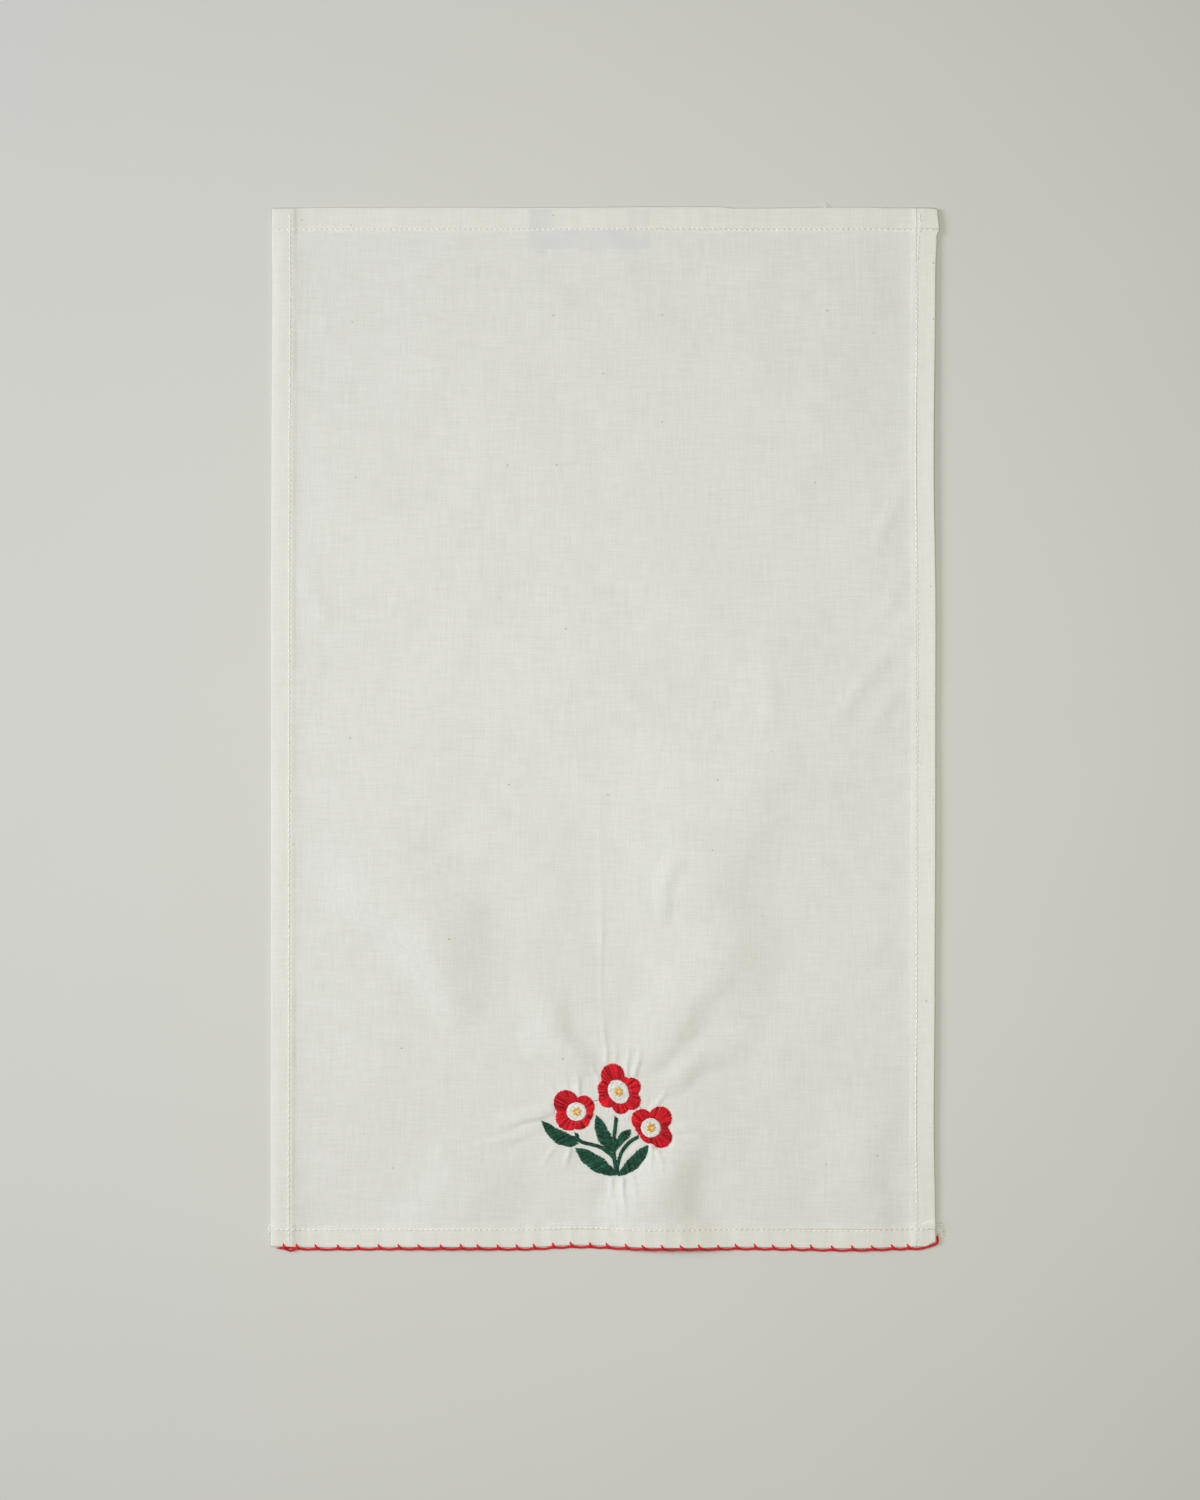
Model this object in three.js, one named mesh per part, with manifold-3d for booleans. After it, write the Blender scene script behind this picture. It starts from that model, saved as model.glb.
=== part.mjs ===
// A tea towel of thin plain-weave cotton, lying face up on a flat surface.
// Millimetres. +X runs across the towel, +Y up to its plain top hem, +Z up from the surface.
// The bottom fold is edged with a thick yarn in blanket stitch. A sprig of three blooms is embroidered
// above it, and a flat tape loop for hanging is caught in the top hem at the back.

import * as THREE from "three";
import { mergeVertices } from "three/addons/utils/BufferGeometryUtils.js";
import Module from "manifold-3d";

const wasm = await Module();
wasm.setup();

// Driving dimensions

const towel = { width: 450, length: 705, layer: 1, hemLayers: 0.7 };
const hems = { side: 14, top: 16.5, bottom: 13.5, ramp: 2 };
const yarn = { diameter: 1.8, sag: 0.5, leg: 1.1, lean: 0.4, reach: 3.6 };
const stitching = { first: -216, second: -207, last: 208, pitch: 13 };
const tape = { width: 14, thick: 0.6, left: -50, right: 32, foot: 323, head: 349 };
const thread = { thick: 0.7, starThick: 0.4, stemWidth: 2.2 };
const clearance = 0.3;
const half = { width: towel.width / 2, length: towel.length / 2 };

const colours = {
  cloth: 0xdbdbd0,
  red: 0xc01a2c,
  green: 0x1f4a35,
  white: 0xe4e7e6,
  yellow: 0xe0b13a,
  tape: 0x5b6670,
};

// Outline and folds

// How far each long edge stands out from its straight line, down the towel, and how high the right one lifts.
const longEdges = [
  { y: 353, left: -0.6, right: 1.8, lift: 0.3 },
  { y: 338, left: -0.3, right: 3.0, lift: 0.5 },
  { y: 334, left: -0.3, right: 1.4, lift: 0.7 },
  { y: 305, left: -0.6, right: 0.4, lift: 1.2 },
  { y: 180, left: 0, right: -0.7, lift: 1.8 },
  { y: 75, left: 0.3, right: 0.6, lift: 1.4 },
  { y: -75, left: 0.4, right: 0.4, lift: 1.6 },
  { y: -270, left: 0.6, right: -0.6, lift: 1.0 },
  { y: -335, left: 0.6, right: 0.4, lift: 0.6 },
  { y: -353, left: 0.4, right: 0.6, lift: 0.3 },
];

// The same for the two short edges, across the towel.
const shortEdges = [
  { x: -225, top: -0.7, bottom: 0 },
  { x: -190, top: 0, bottom: 0.6 },
  { x: -105, top: 0.2, bottom: 0.2 },
  { x: -55, top: 0, bottom: 0.6 },
  { x: -18, top: 0, bottom: -1.0 },
  { x: 30, top: 0.4, bottom: 0.4 },
  { x: 78, top: 0.5, bottom: 0.5 },
  { x: 90, top: -0.5, bottom: 0.3 },
  { x: 165, top: 0.2, bottom: 1.2 },
  { x: 205, top: -0.3, bottom: 0.4 },
  { x: 218, top: -0.4, bottom: 0 },
  { x: 225, top: -0.9, bottom: -3 },
];

// Soft ridges where the stitching draws the cloth up and where it was creased. Each is a line with a height
// and a half width.
const folds = [
  { from: [42, -216], to: [68, -152], high: 1.8, half: 13 },
  { from: [40, -124], to: [58, -80], high: 0.8, half: 12 },
  { from: [62, -238], to: [96, -214], high: 1.1, half: 12 },
  { from: [-22, -222], to: [-52, -184], high: 1.2, half: 14 },
  { from: [-1, -202], to: [-1, 158], high: 0.5, half: 12 },
  { from: [-52, -262], to: [-84, -270], high: 0.8, half: 11 },
  { from: [-50, -286], to: [-82, -296], high: 0.6, half: 11 },
  { from: [60, -264], to: [94, -262], high: 0.7, half: 11 },
  { from: [8, -316], to: [9, -336], high: 0.9, half: 10 },
  { from: [46, -304], to: [56, -328], high: 0.7, half: 10 },
  { from: [-32, -308], to: [-38, -330], high: 0.7, half: 10 },
  { from: [-200, -96], to: [-138, -148], high: 0.9, half: 16 },
  { from: [-208, -189], to: [-108, -189], high: 0.5, half: 12 },
  { from: [-195, -198], to: [-158, -231], high: 0.7, half: 14 },
  { from: [-200, 86], to: [-196, 108], high: 0.7, half: 16 },
  { from: [195, 140], to: [208, 160], high: 0.9, half: 12 },
  { from: [175, 71], to: [204, 47], high: 0.9, half: 12 },
  { from: [182, 22], to: [206, 32], high: 0.7, half: 12 },
  { from: [102, 3], to: [206, 3], high: 0.5, half: 12 },
];

// The cloth lies flat under the sprig: inside this oval there is no fold, and folds fade in around it.
const flatOval = { x: 3, y: -267, wide: 50, tall: 44, fade: 0.3 };

// The flat rise over the tape loop at the back.
const loopRise = {
  left: tape.left - 2,
  right: tape.right + 2,
  foot: tape.foot - 2,
  ramp: 7,
  high: tape.thick + clearance,
};

// Embroidery

// A petal is a disc: the turn to its middle from the eye's middle, how far out that is, and its radius.
const blooms = [
  {
    name: "left",
    at: [-18, -261],
    eye: { wide: 14, tall: 12.6, turn: 0 },
    starTurn: 10,
    petals: [
      { turn: 140, out: 10, size: 8.2 },
      { turn: 38, out: 7.5, size: 6.8 },
      { turn: -38, out: 6, size: 7 },
      { turn: -95, out: 7, size: 6 },
      { turn: -138, out: 10, size: 7.4 },
    ],
  },
  {
    name: "middle",
    at: [10.5, -247.5],
    eye: { wide: 14, tall: 17, turn: 30 },
    starTurn: 22,
    petals: [
      { turn: 110, out: 12, size: 8.2 },
      { turn: 20, out: 9.5, size: 6.5 },
      { turn: -35, out: 11, size: 6.5 },
      { turn: -80, out: 9.5, size: 6.2 },
      { turn: -148, out: 8.5, size: 6.6 },
      { turn: 166, out: 8, size: 6.8 },
    ],
  },
  {
    name: "right",
    at: [32.5, -272],
    eye: { wide: 14, tall: 13, turn: -20 },
    starTurn: 0,
    petals: [
      { turn: 46, out: 10, size: 8 },
      { turn: 138, out: 8.3, size: 6.4 },
      { turn: -45, out: 9.8, size: 7.4 },
      { turn: -110, out: 6.5, size: 6.6 },
      { turn: -150, out: 4.5, size: 7.2 },
    ],
  },
];
const star = { points: 7, outer: 3.1, inner: 1.6 };

const stems = [
  [[9.3, -303.6], [8, -295], [7.2, -286], [7.6, -278], [9, -265]],
  [[8.6, -298], [6.5, -291.6], [-1, -285.7], [-7, -283.6], [-13.5, -282], [-17, -279.6], [-18, -275.8]],
  [[9.5, -303], [10, -297], [12, -290], [15, -285], [19, -281], [24, -278.2]],
];

// A leaf runs from its foot to its tip. It is widest at the share given by full, and bends to its left side.
const leaves = [
  { name: "far_left", foot: [-17, -281.6], tip: [-41, -268], wide: 8.2, full: 0.36, bend: 2.6 },
  { name: "low_left", foot: [9, -303.8], tip: [-18.6, -286], wide: 10.6, full: 0.5, bend: 1 },
  { name: "inner_left", foot: [7.2, -288.5], tip: [-5, -264.3], wide: 9, full: 0.42, bend: 1.4 },
  { name: "inner_right", foot: [7.2, -290], tip: [18.6, -273.6], wide: 5.6, full: 0.68, bend: 1.6 },
  { name: "low_right", foot: [10.4, -304.6], tip: [30.4, -284.2], wide: 8.6, full: 0.52, bend: -1.4 },
];

// Small helpers

const clamp = (value, low, high) => Math.min(Math.max(value, low), high);

// 0 before the start, 1 after the end, and smooth between them.
function ease(value, start, end) {
  const share = clamp((value - start) / (end - start), 0, 1);
  return share * share * (3 - 2 * share);
}

// The value of one column of a table at a place along it, eased between its rows.
function along(table, key, column, place) {
  const rows = [...table].sort((a, b) => a[key] - b[key]);
  const next = rows.findIndex((row) => row[key] > place);
  if (next === 0) return rows[0][column];
  if (next < 0) return rows.at(-1)[column];
  const [a, b] = [rows[next - 1], rows[next]];
  return a[column] + (b[column] - a[column]) * ease(place, a[key], b[key]);
}

// A closed, indexed geometry as a solid that can be joined and cut.
function solidOf(geometry) {
  const bare = geometry.index ? geometry.toNonIndexed() : geometry.clone();
  bare.deleteAttribute("normal");
  bare.deleteAttribute("uv");
  const merged = mergeVertices(bare, 1e-4);
  return new wasm.Manifold(
    new wasm.Mesh({
      numProp: 3,
      vertProperties: merged.attributes.position.array,
      triVerts: new Uint32Array(merged.index.array),
    }),
  );
}

const union = (solids) => solids.reduce((all, one) => all.add(one));

function geometryOf(solid) {
  const { vertProperties, triVerts } = solid.getMesh();
  return new THREE.BufferGeometry()
    .setAttribute("position", new THREE.BufferAttribute(vertProperties, 3))
    .setIndex(new THREE.BufferAttribute(triVerts, 1));
}

// Cloth

// A place on the flat cloth, moved so that its edges follow the outline.
function placed(x, y) {
  const reach = 60;
  const left = 1 - ease(x + half.width, 0, reach);
  const right = 1 - ease(half.width - x, 0, reach);
  const bottom = 1 - ease(y + half.length, 0, reach);
  const top = 1 - ease(half.length - y, 0, reach);
  return [
    x + right * along(longEdges, "y", "right", y) - left * along(longEdges, "y", "left", y),
    y + top * along(shortEdges, "x", "top", x) - bottom * along(shortEdges, "x", "bottom", x),
  ];
}

// A fold's height falls smoothly to nothing at its half width, and the highest fold counts where two meet.
function foldLift(x, y) {
  const lifts = folds.map(({ from, to, high, half: reach }) => {
    const [dx, dy] = [to[0] - from[0], to[1] - from[1]];
    const share = clamp(((x - from[0]) * dx + (y - from[1]) * dy) / (dx * dx + dy * dy), 0, 1);
    const off = Math.hypot(x - from[0] - share * dx, y - from[1] - share * dy) / reach;
    return off < 1 ? high * (1 - off * off) ** 2 : 0;
  });
  const oval = Math.hypot((x - flatOval.x) / flatOval.wide, (y - flatOval.y) / flatOval.tall);
  return Math.max(...lifts) * ease(oval, 1, 1 + flatOval.fade);
}

function edgeLift(x, y) {
  const liftedStrip = 32;
  return along(longEdges, "y", "lift", y) * ease(x, half.width - liftedStrip, half.width);
}

function loopLift(x, y) {
  const { left, right, foot, ramp, high } = loopRise;
  return (
    high * ease(x, left - ramp, left) * (1 - ease(x, right, right + ramp)) * ease(y, foot - ramp, foot)
  );
}

const underAt = (x, y) => Math.max(foldLift(x, y), edgeLift(x, y), loopLift(x, y));

// The hems are thicker by their turned layers, and twice that where two hems cross at a corner.
function hemAt(x, y) {
  const band = (inside) => 1 - ease(inside, -hems.ramp / 2, hems.ramp / 2);
  const sides = band(half.width - Math.abs(x) - hems.side);
  const ends = band(half.length - y - hems.top) + band(half.length + y - hems.bottom);
  return towel.hemLayers * (sides + ends);
}

const topAt = (x, y) => underAt(x, y) + towel.layer + hemAt(x, y);

// Grid lines from one place up to another, no further apart than the step and without the last.
function lines(from, to, step) {
  const count = Math.ceil((to - from) / step - 1e-6);
  return Array.from({ length: count }, (_, i) => from + ((to - from) * i) / count);
}

// The grid is fine round the sprig and along the wrinkled right side, and coarse where the cloth is smooth.
function gridLines() {
  const steps = { fine: 10, medium: 14, coarse: 24 };
  const hemEdges = (hem) => [hem - hems.ramp / 2, hem + hems.ramp / 2];
  const [sideOuter, sideInner] = hemEdges(hems.side).map((hem) => half.width - hem);
  const [topOuter, topInner] = hemEdges(hems.top).map((hem) => half.length - hem);
  const [bottomOuter, bottomInner] = hemEdges(hems.bottom).map((hem) => half.length - hem);
  const loopFoot = loopRise.foot - loopRise.ramp;
  const columns = [
    ...[-half.width, -sideOuter],
    ...lines(-sideInner, -86, steps.coarse),
    ...lines(-86, 104, steps.fine),
    ...lines(104, 170, steps.coarse),
    ...lines(170, sideInner, steps.fine),
    ...[sideInner, sideOuter, half.width],
  ];
  const rows = [
    ...[-half.length, -bottomOuter],
    ...lines(-bottomInner, -148, steps.fine),
    ...lines(-148, -68, steps.medium),
    ...lines(-68, 10, steps.coarse),
    ...lines(10, 170, steps.medium),
    ...lines(170, loopFoot, steps.coarse),
    ...[loopFoot, loopRise.foot, topInner, topOuter, half.length],
  ];
  return { columns, rows };
}

// The top and the under surface are worked out on one grid and joined round the rim.
function clothGeometry() {
  const { columns, rows } = gridLines();
  const [across, down] = [columns.length, rows.length];
  const faceSize = across * down;
  const points = [];
  for (const heightAt of [topAt, underAt]) {
    for (const y of rows) for (const x of columns) points.push(...placed(x, y), heightAt(x, y));
  }
  const at = (i, j) => j * across + i;
  const under = (i, j) => faceSize + at(i, j);
  const faces = [];
  for (let j = 0; j + 1 < down; j++) {
    for (let i = 0; i + 1 < across; i++) {
      faces.push(at(i, j), at(i + 1, j), at(i + 1, j + 1), at(i, j), at(i + 1, j + 1), at(i, j + 1));
      faces.push(under(i, j), under(i + 1, j + 1), under(i + 1, j));
      faces.push(under(i, j), under(i, j + 1), under(i + 1, j + 1));
    }
  }
  // The rim is walked anticlockwise, seen from above.
  const rim = [
    ...columns.slice(1).map((_, i) => [i, 0]),
    ...rows.slice(1).map((_, j) => [across - 1, j]),
    ...columns.slice(1).map((_, i) => [across - 1 - i, down - 1]),
    ...rows.slice(1).map((_, j) => [0, down - 1 - j]),
  ];
  rim.forEach((a, n) => {
    const b = rim[(n + 1) % rim.length];
    faces.push(under(...a), under(...b), at(...b), under(...a), at(...b), at(...a));
  });
  return new THREE.BufferGeometry()
    .setAttribute("position", new THREE.Float32BufferAttribute(points, 3))
    .setIndex(faces);
}

// Edging

// A tube of the given section size along a smooth curve through the points.
function tube(points, radius, sides, steps) {
  const section = new THREE.Shape(
    Array.from({ length: sides }, (_, i) => {
      const turn = (2 * Math.PI * (i + 0.5)) / sides;
      return new THREE.Vector2(radius * Math.cos(turn), radius * Math.sin(turn));
    }),
  );
  const extrudePath = new THREE.CatmullRomCurve3(points.map((p) => new THREE.Vector3(...p)));
  return new THREE.ExtrudeGeometry(section, { steps, extrudePath });
}

// After a first short one, the stitches are a pitch apart, each a little early or late, as hand stitches are.
function stitchPlaces() {
  const { first, second, last, pitch } = stitching;
  const count = Math.round((last - second) / pitch);
  const spaced = Array.from({ length: count + 1 }, (_, i) => {
    return second + ((last - second) * i) / count + 0.5 * Math.sin(2.1 * i) + 0.4 * Math.sin(5.3 * i + 1);
  });
  return [first, ...spaced];
}

// The lowest point of the cloth's bottom fold at a place across the towel.
const foldEdge = (x) => placed(x, -half.length)[1];

// One yarn runs along the fold and sags a little between stitches, and its last stitch turns up round the
// corner and ends beside the right edge. At each stitch a leg comes over the fold and lies on the hem.
function edgingSolid() {
  const radius = yarn.diameter / 2;
  const legRadius = yarn.leg / 2;
  const out = radius + clearance;
  const high = radius + 0.1;
  const stitches = stitchPlaces();
  const cornerX = placed(half.width, -half.length)[0];
  const cornerY = foldEdge(half.width);
  const route = [[stitches[0] - 5, foldEdge(stitches[0] - 5) - out, high]];
  stitches.forEach((x, i) => {
    route.push([x, foldEdge(x) - out, high]);
    const middle = (x + (stitches[i + 1] ?? cornerX - 5)) / 2;
    const slack = i === 0 ? 3 : 1;
    route.push([middle, foldEdge(middle) - out - slack * yarn.sag, high]);
  });
  route.push([cornerX - 5, foldEdge(cornerX - 5) - out, high]);
  route.push([cornerX + out * 0.8, cornerY - out * 0.8, high]);
  route.push([cornerX + out + 0.2, cornerY + 2.5, high]);
  route.push([cornerX + out + 0.2, cornerY + 5, high]);
  const legs = stitches.map((x) => {
    const edge = foldEdge(x);
    const over = topAt(x, -half.length + 2) + clearance + legRadius;
    const leg = [
      [x + yarn.lean, edge - out, high],
      [x + yarn.lean, edge - out + 0.3, over - 0.5],
      [x, edge, over],
      [x - yarn.lean, edge + yarn.reach, over],
    ];
    return solidOf(tube(leg, legRadius, 5, 4));
  });
  return union([solidOf(tube(route, radius, 6, 2 * route.length)), ...legs]);
}

// Hanging loop

function loopGeometry() {
  const { left, right, foot, head, width, thick } = tape;
  const outline = new THREE.Shape([
    new THREE.Vector2(left, foot),
    new THREE.Vector2(right, foot),
    new THREE.Vector2(right, head),
    new THREE.Vector2(right - width, head),
    new THREE.Vector2(right - width, foot + width),
    new THREE.Vector2(left + width, foot + width),
    new THREE.Vector2(left + width, head),
    new THREE.Vector2(left, head),
  ]);
  return new THREE.ExtrudeGeometry(outline, { depth: thick, bevelEnabled: false });
}

// Sprig

const radians = (degrees) => (degrees * Math.PI) / 180;

// A flat pad of stitching with the given outline, lying just above the cloth.
function pad(outline, thick = thread.thick, rise = 0, hole = null) {
  const shape = new THREE.Shape(outline.map((p) => new THREE.Vector2(...p)));
  if (hole) shape.holes.push(new THREE.Path(hole.map((p) => new THREE.Vector2(...p))));
  const geometry = new THREE.ExtrudeGeometry(shape, { depth: thick, bevelEnabled: false });
  return geometry.translate(0, 0, towel.layer + clearance + rise);
}

// The same outline as a tall block, for cutting a neighbour back.
const cutter = (outline) => solidOf(pad(outline, 3 * thread.thick, -thread.thick));

// A bloom's edge lies, in each direction from the eye's middle, at the far side of the petal that reaches
// furthest.
function bloomOutline({ at, petals, eye }, grow = 0) {
  const points = 60;
  return Array.from({ length: points }, (_, i) => {
    const way = (2 * Math.PI * i) / points;
    const reaches = petals.map(({ turn, out, size }) => {
      const aside = out * Math.sin(way - radians(turn));
      const ahead = out * Math.cos(way - radians(turn));
      return Math.abs(aside) < size ? ahead + Math.sqrt(size * size - aside * aside) : 0;
    });
    const reach = Math.max(...reaches, eye.wide / 2 + 2) + grow;
    return [at[0] + reach * Math.cos(way), at[1] + reach * Math.sin(way)];
  });
}

// The eye is an oval, turned about its middle.
function eyeOutline({ at, eye }, grow = 0) {
  const points = 24;
  const lean = radians(eye.turn);
  return Array.from({ length: points }, (_, i) => {
    const way = (2 * Math.PI * i) / points;
    const [x, y] = [(eye.wide / 2 + grow) * Math.cos(way), (eye.tall / 2 + grow) * Math.sin(way)];
    return [at[0] + x * Math.cos(lean) - y * Math.sin(lean), at[1] + x * Math.sin(lean) + y * Math.cos(lean)];
  });
}

function starOutline({ at, starTurn }) {
  return Array.from({ length: 2 * star.points }, (_, i) => {
    const way = (Math.PI * i) / star.points + radians(starTurn);
    const reach = i % 2 ? star.inner : star.outer;
    return [at[0] + reach * Math.cos(way), at[1] + reach * Math.sin(way)];
  });
}

// A leaf is a pointed lens about a bowed middle line, with a shallow wave on its edges.
function leafOutline({ foot, tip, wide, full, bend }) {
  const points = 12;
  const wave = { size: 0.06, count: 3 };
  const [dx, dy] = [tip[0] - foot[0], tip[1] - foot[1]];
  const length = Math.hypot(dx, dy);
  const skew = Math.log(0.5) / Math.log(full);
  const side = (share, sign) => {
    const ripple = 1 + wave.size * Math.sin(2 * Math.PI * wave.count * share);
    const halfWide = (wide / 2) * ripple * Math.sin(Math.PI * share ** skew) ** 0.8;
    const off = bend * Math.sin(Math.PI * share) + sign * halfWide;
    return [foot[0] + dx * share - (dy / length) * off, foot[1] + dy * share + (dx / length) * off];
  };
  const shares = Array.from({ length: points - 1 }, (_, i) => (i + 1) / points);
  return [foot, ...shares.map((s) => side(s, -1)), tip, ...shares.reverse().map((s) => side(s, 1))];
}

// A stem is a band of even width about a smooth line.
function stemOutline(points, grow = 0) {
  const steps = 10;
  const line = new THREE.CatmullRomCurve3(points.map(([x, y]) => new THREE.Vector3(x, y, 0)));
  const edge = (sign) =>
    Array.from({ length: steps + 1 }, (_, i) => {
      const place = line.getPoint(i / steps);
      const way = line.getTangent(i / steps);
      const off = sign * (thread.stemWidth / 2 + grow);
      return [place.x - way.y * off, place.y + way.x * off];
    });
  return [...edge(-1), ...edge(1).reverse()];
}

const cutBack = (solid, neighbours) => neighbours.reduce((left, one) => left.subtract(one), solid);

// The model

const model = new THREE.Group();

function addPiece(name, geometry, color, roughness = 0.9) {
  const material = new THREE.MeshStandardMaterial({ color, roughness, metalness: 0 });
  const mesh = new THREE.Mesh(geometry, material);
  mesh.name = name;
  model.add(mesh);
}

addPiece("cloth", clothGeometry(), colours.cloth, 0.95);
addPiece("edging", geometryOf(edgingSolid()), colours.red, 0.8);
addPiece("hanging_loop", loopGeometry(), colours.tape, 0.9);

const bloomCutters = blooms.map((bloom) => cutter(bloomOutline(bloom, clearance)));
const stemCutters = stems.map((points) => cutter(stemOutline(points, clearance)));
const stemSolid = union(stems.map((points) => solidOf(pad(stemOutline(points)))));
addPiece("stems", geometryOf(cutBack(stemSolid, bloomCutters)), colours.green, 0.6);
for (const leaf of leaves) {
  const leafSolid = cutBack(solidOf(pad(leafOutline(leaf))), [...bloomCutters, ...stemCutters]);
  addPiece(`leaf_${leaf.name}`, geometryOf(leafSolid), colours.green, 0.6);
}
for (const bloom of blooms) {
  const petals = pad(bloomOutline(bloom), thread.thick, 0, eyeOutline(bloom, clearance));
  addPiece(`petals_${bloom.name}`, petals, colours.red, 0.55);
  addPiece(`eye_${bloom.name}`, pad(eyeOutline(bloom)), colours.white, 0.6);
  const starPad = pad(starOutline(bloom), thread.starThick, thread.thick + clearance);
  addPiece(`star_${bloom.name}`, starPad, colours.yellow, 0.55);
}

// The origin is on the surface, under the middle of the whole towel.
const middle = new THREE.Box3().setFromObject(model).getCenter(new THREE.Vector3());
model.position.set(-middle.x, -middle.y, 0);

export default model;
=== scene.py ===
"""A tea towel of plain-weave cotton, lying face up, with an embroidered sprig and a blanket-stitched fold.

The shapes are worked out in millimetres in the towel's own frame: x across it, y up to its plain top hem,
z up from the surface it lies on. add_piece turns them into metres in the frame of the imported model.
"""

from typing import NamedTuple

import bpy
import numpy as np
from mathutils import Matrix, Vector


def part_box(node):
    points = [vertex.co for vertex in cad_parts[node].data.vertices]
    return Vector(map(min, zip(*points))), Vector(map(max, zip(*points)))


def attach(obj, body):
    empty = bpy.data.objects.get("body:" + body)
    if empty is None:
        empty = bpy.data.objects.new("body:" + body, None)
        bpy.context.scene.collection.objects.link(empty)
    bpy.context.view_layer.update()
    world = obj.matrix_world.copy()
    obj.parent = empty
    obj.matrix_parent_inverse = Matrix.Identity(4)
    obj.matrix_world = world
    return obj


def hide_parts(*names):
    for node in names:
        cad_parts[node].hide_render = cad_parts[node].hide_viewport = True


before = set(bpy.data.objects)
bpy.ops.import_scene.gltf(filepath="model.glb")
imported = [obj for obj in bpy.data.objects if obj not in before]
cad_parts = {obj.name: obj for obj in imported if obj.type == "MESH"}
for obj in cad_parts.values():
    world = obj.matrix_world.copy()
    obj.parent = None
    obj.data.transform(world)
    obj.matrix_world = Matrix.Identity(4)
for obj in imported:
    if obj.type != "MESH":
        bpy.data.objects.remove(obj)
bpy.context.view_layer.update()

bl_info = {
    "name": "Tea towel",
    "version": (1, 0, 0),
    "blender": (4, 5, 0),
    "location": "3D View > Sidebar > Tea towel",
    "description": "Makes a hemmed cotton tea towel with a stitched edge and an embroidered sprig",
    "category": "Add Mesh",
}

MM = 0.001

# Construction, in millimetres

HALF_WIDTH = 225
HALF_LENGTH = 352.5
SIDE_HEM = 14
TOP_HEM = 16.5
BOTTOM_HEM = 13.5
TURN_IN = 8
SEAM_INSIDE = 1.8
RAMP = 3.6
HEM_STEP = 2.2
RAMP_STEP = 1.2
CLOTH_THICK = 0.3
LAYER_GAP = 0.45
FIELD_HIGH = 0.8
CLOTH_TOP = FIELD_HIGH + CLOTH_THICK / 2

TAPE = {"width": 14, "thick": 0.35, "left": -50, "right": 32, "foot": 323, "head": 349}
YARN = {"radius": 0.9, "sag": 0.5, "lean": 0.4, "reach": 2.3, "clearance": 0.3}
SPRIG_MIDDLE = (3, -267)
STAR = {"points": 7, "inner": 1.15, "outer": 2.85}
STEM_WIDTH = 2.6
FLAT_ROUND_STITCHING = 1.8

# The left edge's roll over its hem: its share of the table's swell, where it is full, where it has fallen to
# the field, and its share at the very edge. The right edge's rise reaches in over the last distance.
LEFT_ROLL = {"share": 0.55, "full": 6, "gone": 28, "crest": 5, "edge": 0.35}
RIGHT_RISE = 26

# The hems' machine stitches: the share of the pitch that shows, and how far they stand over the face.
HEM_THREAD = {"radius": 0.36, "shown": 0.7, "over": 0.28, "crown": 0.04, "shake": 0.1}
LOOSE_RADIUS = (0.34, 0.2)

# The towel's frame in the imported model's: the loop's low corner is known in both.
LOOP_LOW = np.array(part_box("hanging_loop")[0])
SHIFT = np.array([LOOP_LOW[0] - TAPE["left"] * MM, LOOP_LOW[1] - TAPE["foot"] * MM, 0])


def table(names, *rows):
    """Rows of numbers as one array for each named column."""
    return dict(zip(names.split(), np.array(rows, float).T))


# How far each long edge stands out from its straight line, how high the right one lifts and how high the
# left one swells.
LONG_EDGES = table(
    "y left right lift swell",
    (-353, 0.4, 0.6, 0.4, 1.1),
    (-335, 0.6, 0.4, 0.9, 1.8),
    (-270, 0.6, -0.6, 1.6, 1.5),
    (-180, 0.5, 0, 1.9, 0.5),
    (-75, 0.4, 0.4, 2.2, 1.4),
    (0, 0.3, 0.5, 1.7, 0.8),
    (75, 0.3, 0.6, 2.0, 0.4),
    (180, 0, -0.7, 2.4, 1.1),
    (305, -0.6, 0.4, 1.8, 1.9),
    (334, -0.3, 1.4, 1.0, 1.3),
    (338, -0.3, 3.0, 0.8, 1.1),
    (353, -0.6, 1.8, 0.4, 0.7),
)

# How far the top and the bottom fold stand out from their straight lines.
SHORT_EDGES = table(
    "x top bottom",
    (-225, -0.7, 0),
    (-190, 0, 0.6),
    (-105, 0.2, 0.2),
    (-55, 0, 0.6),
    (-18, 0, -1.0),
    (30, 0.4, 0.4),
    (78, 0.5, 0.5),
    (90, -0.5, 0.3),
    (165, 0.2, 1.2),
    (205, -0.3, 0.4),
    (218, -0.4, 0),
    (225, -0.9, -3),
)

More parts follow.
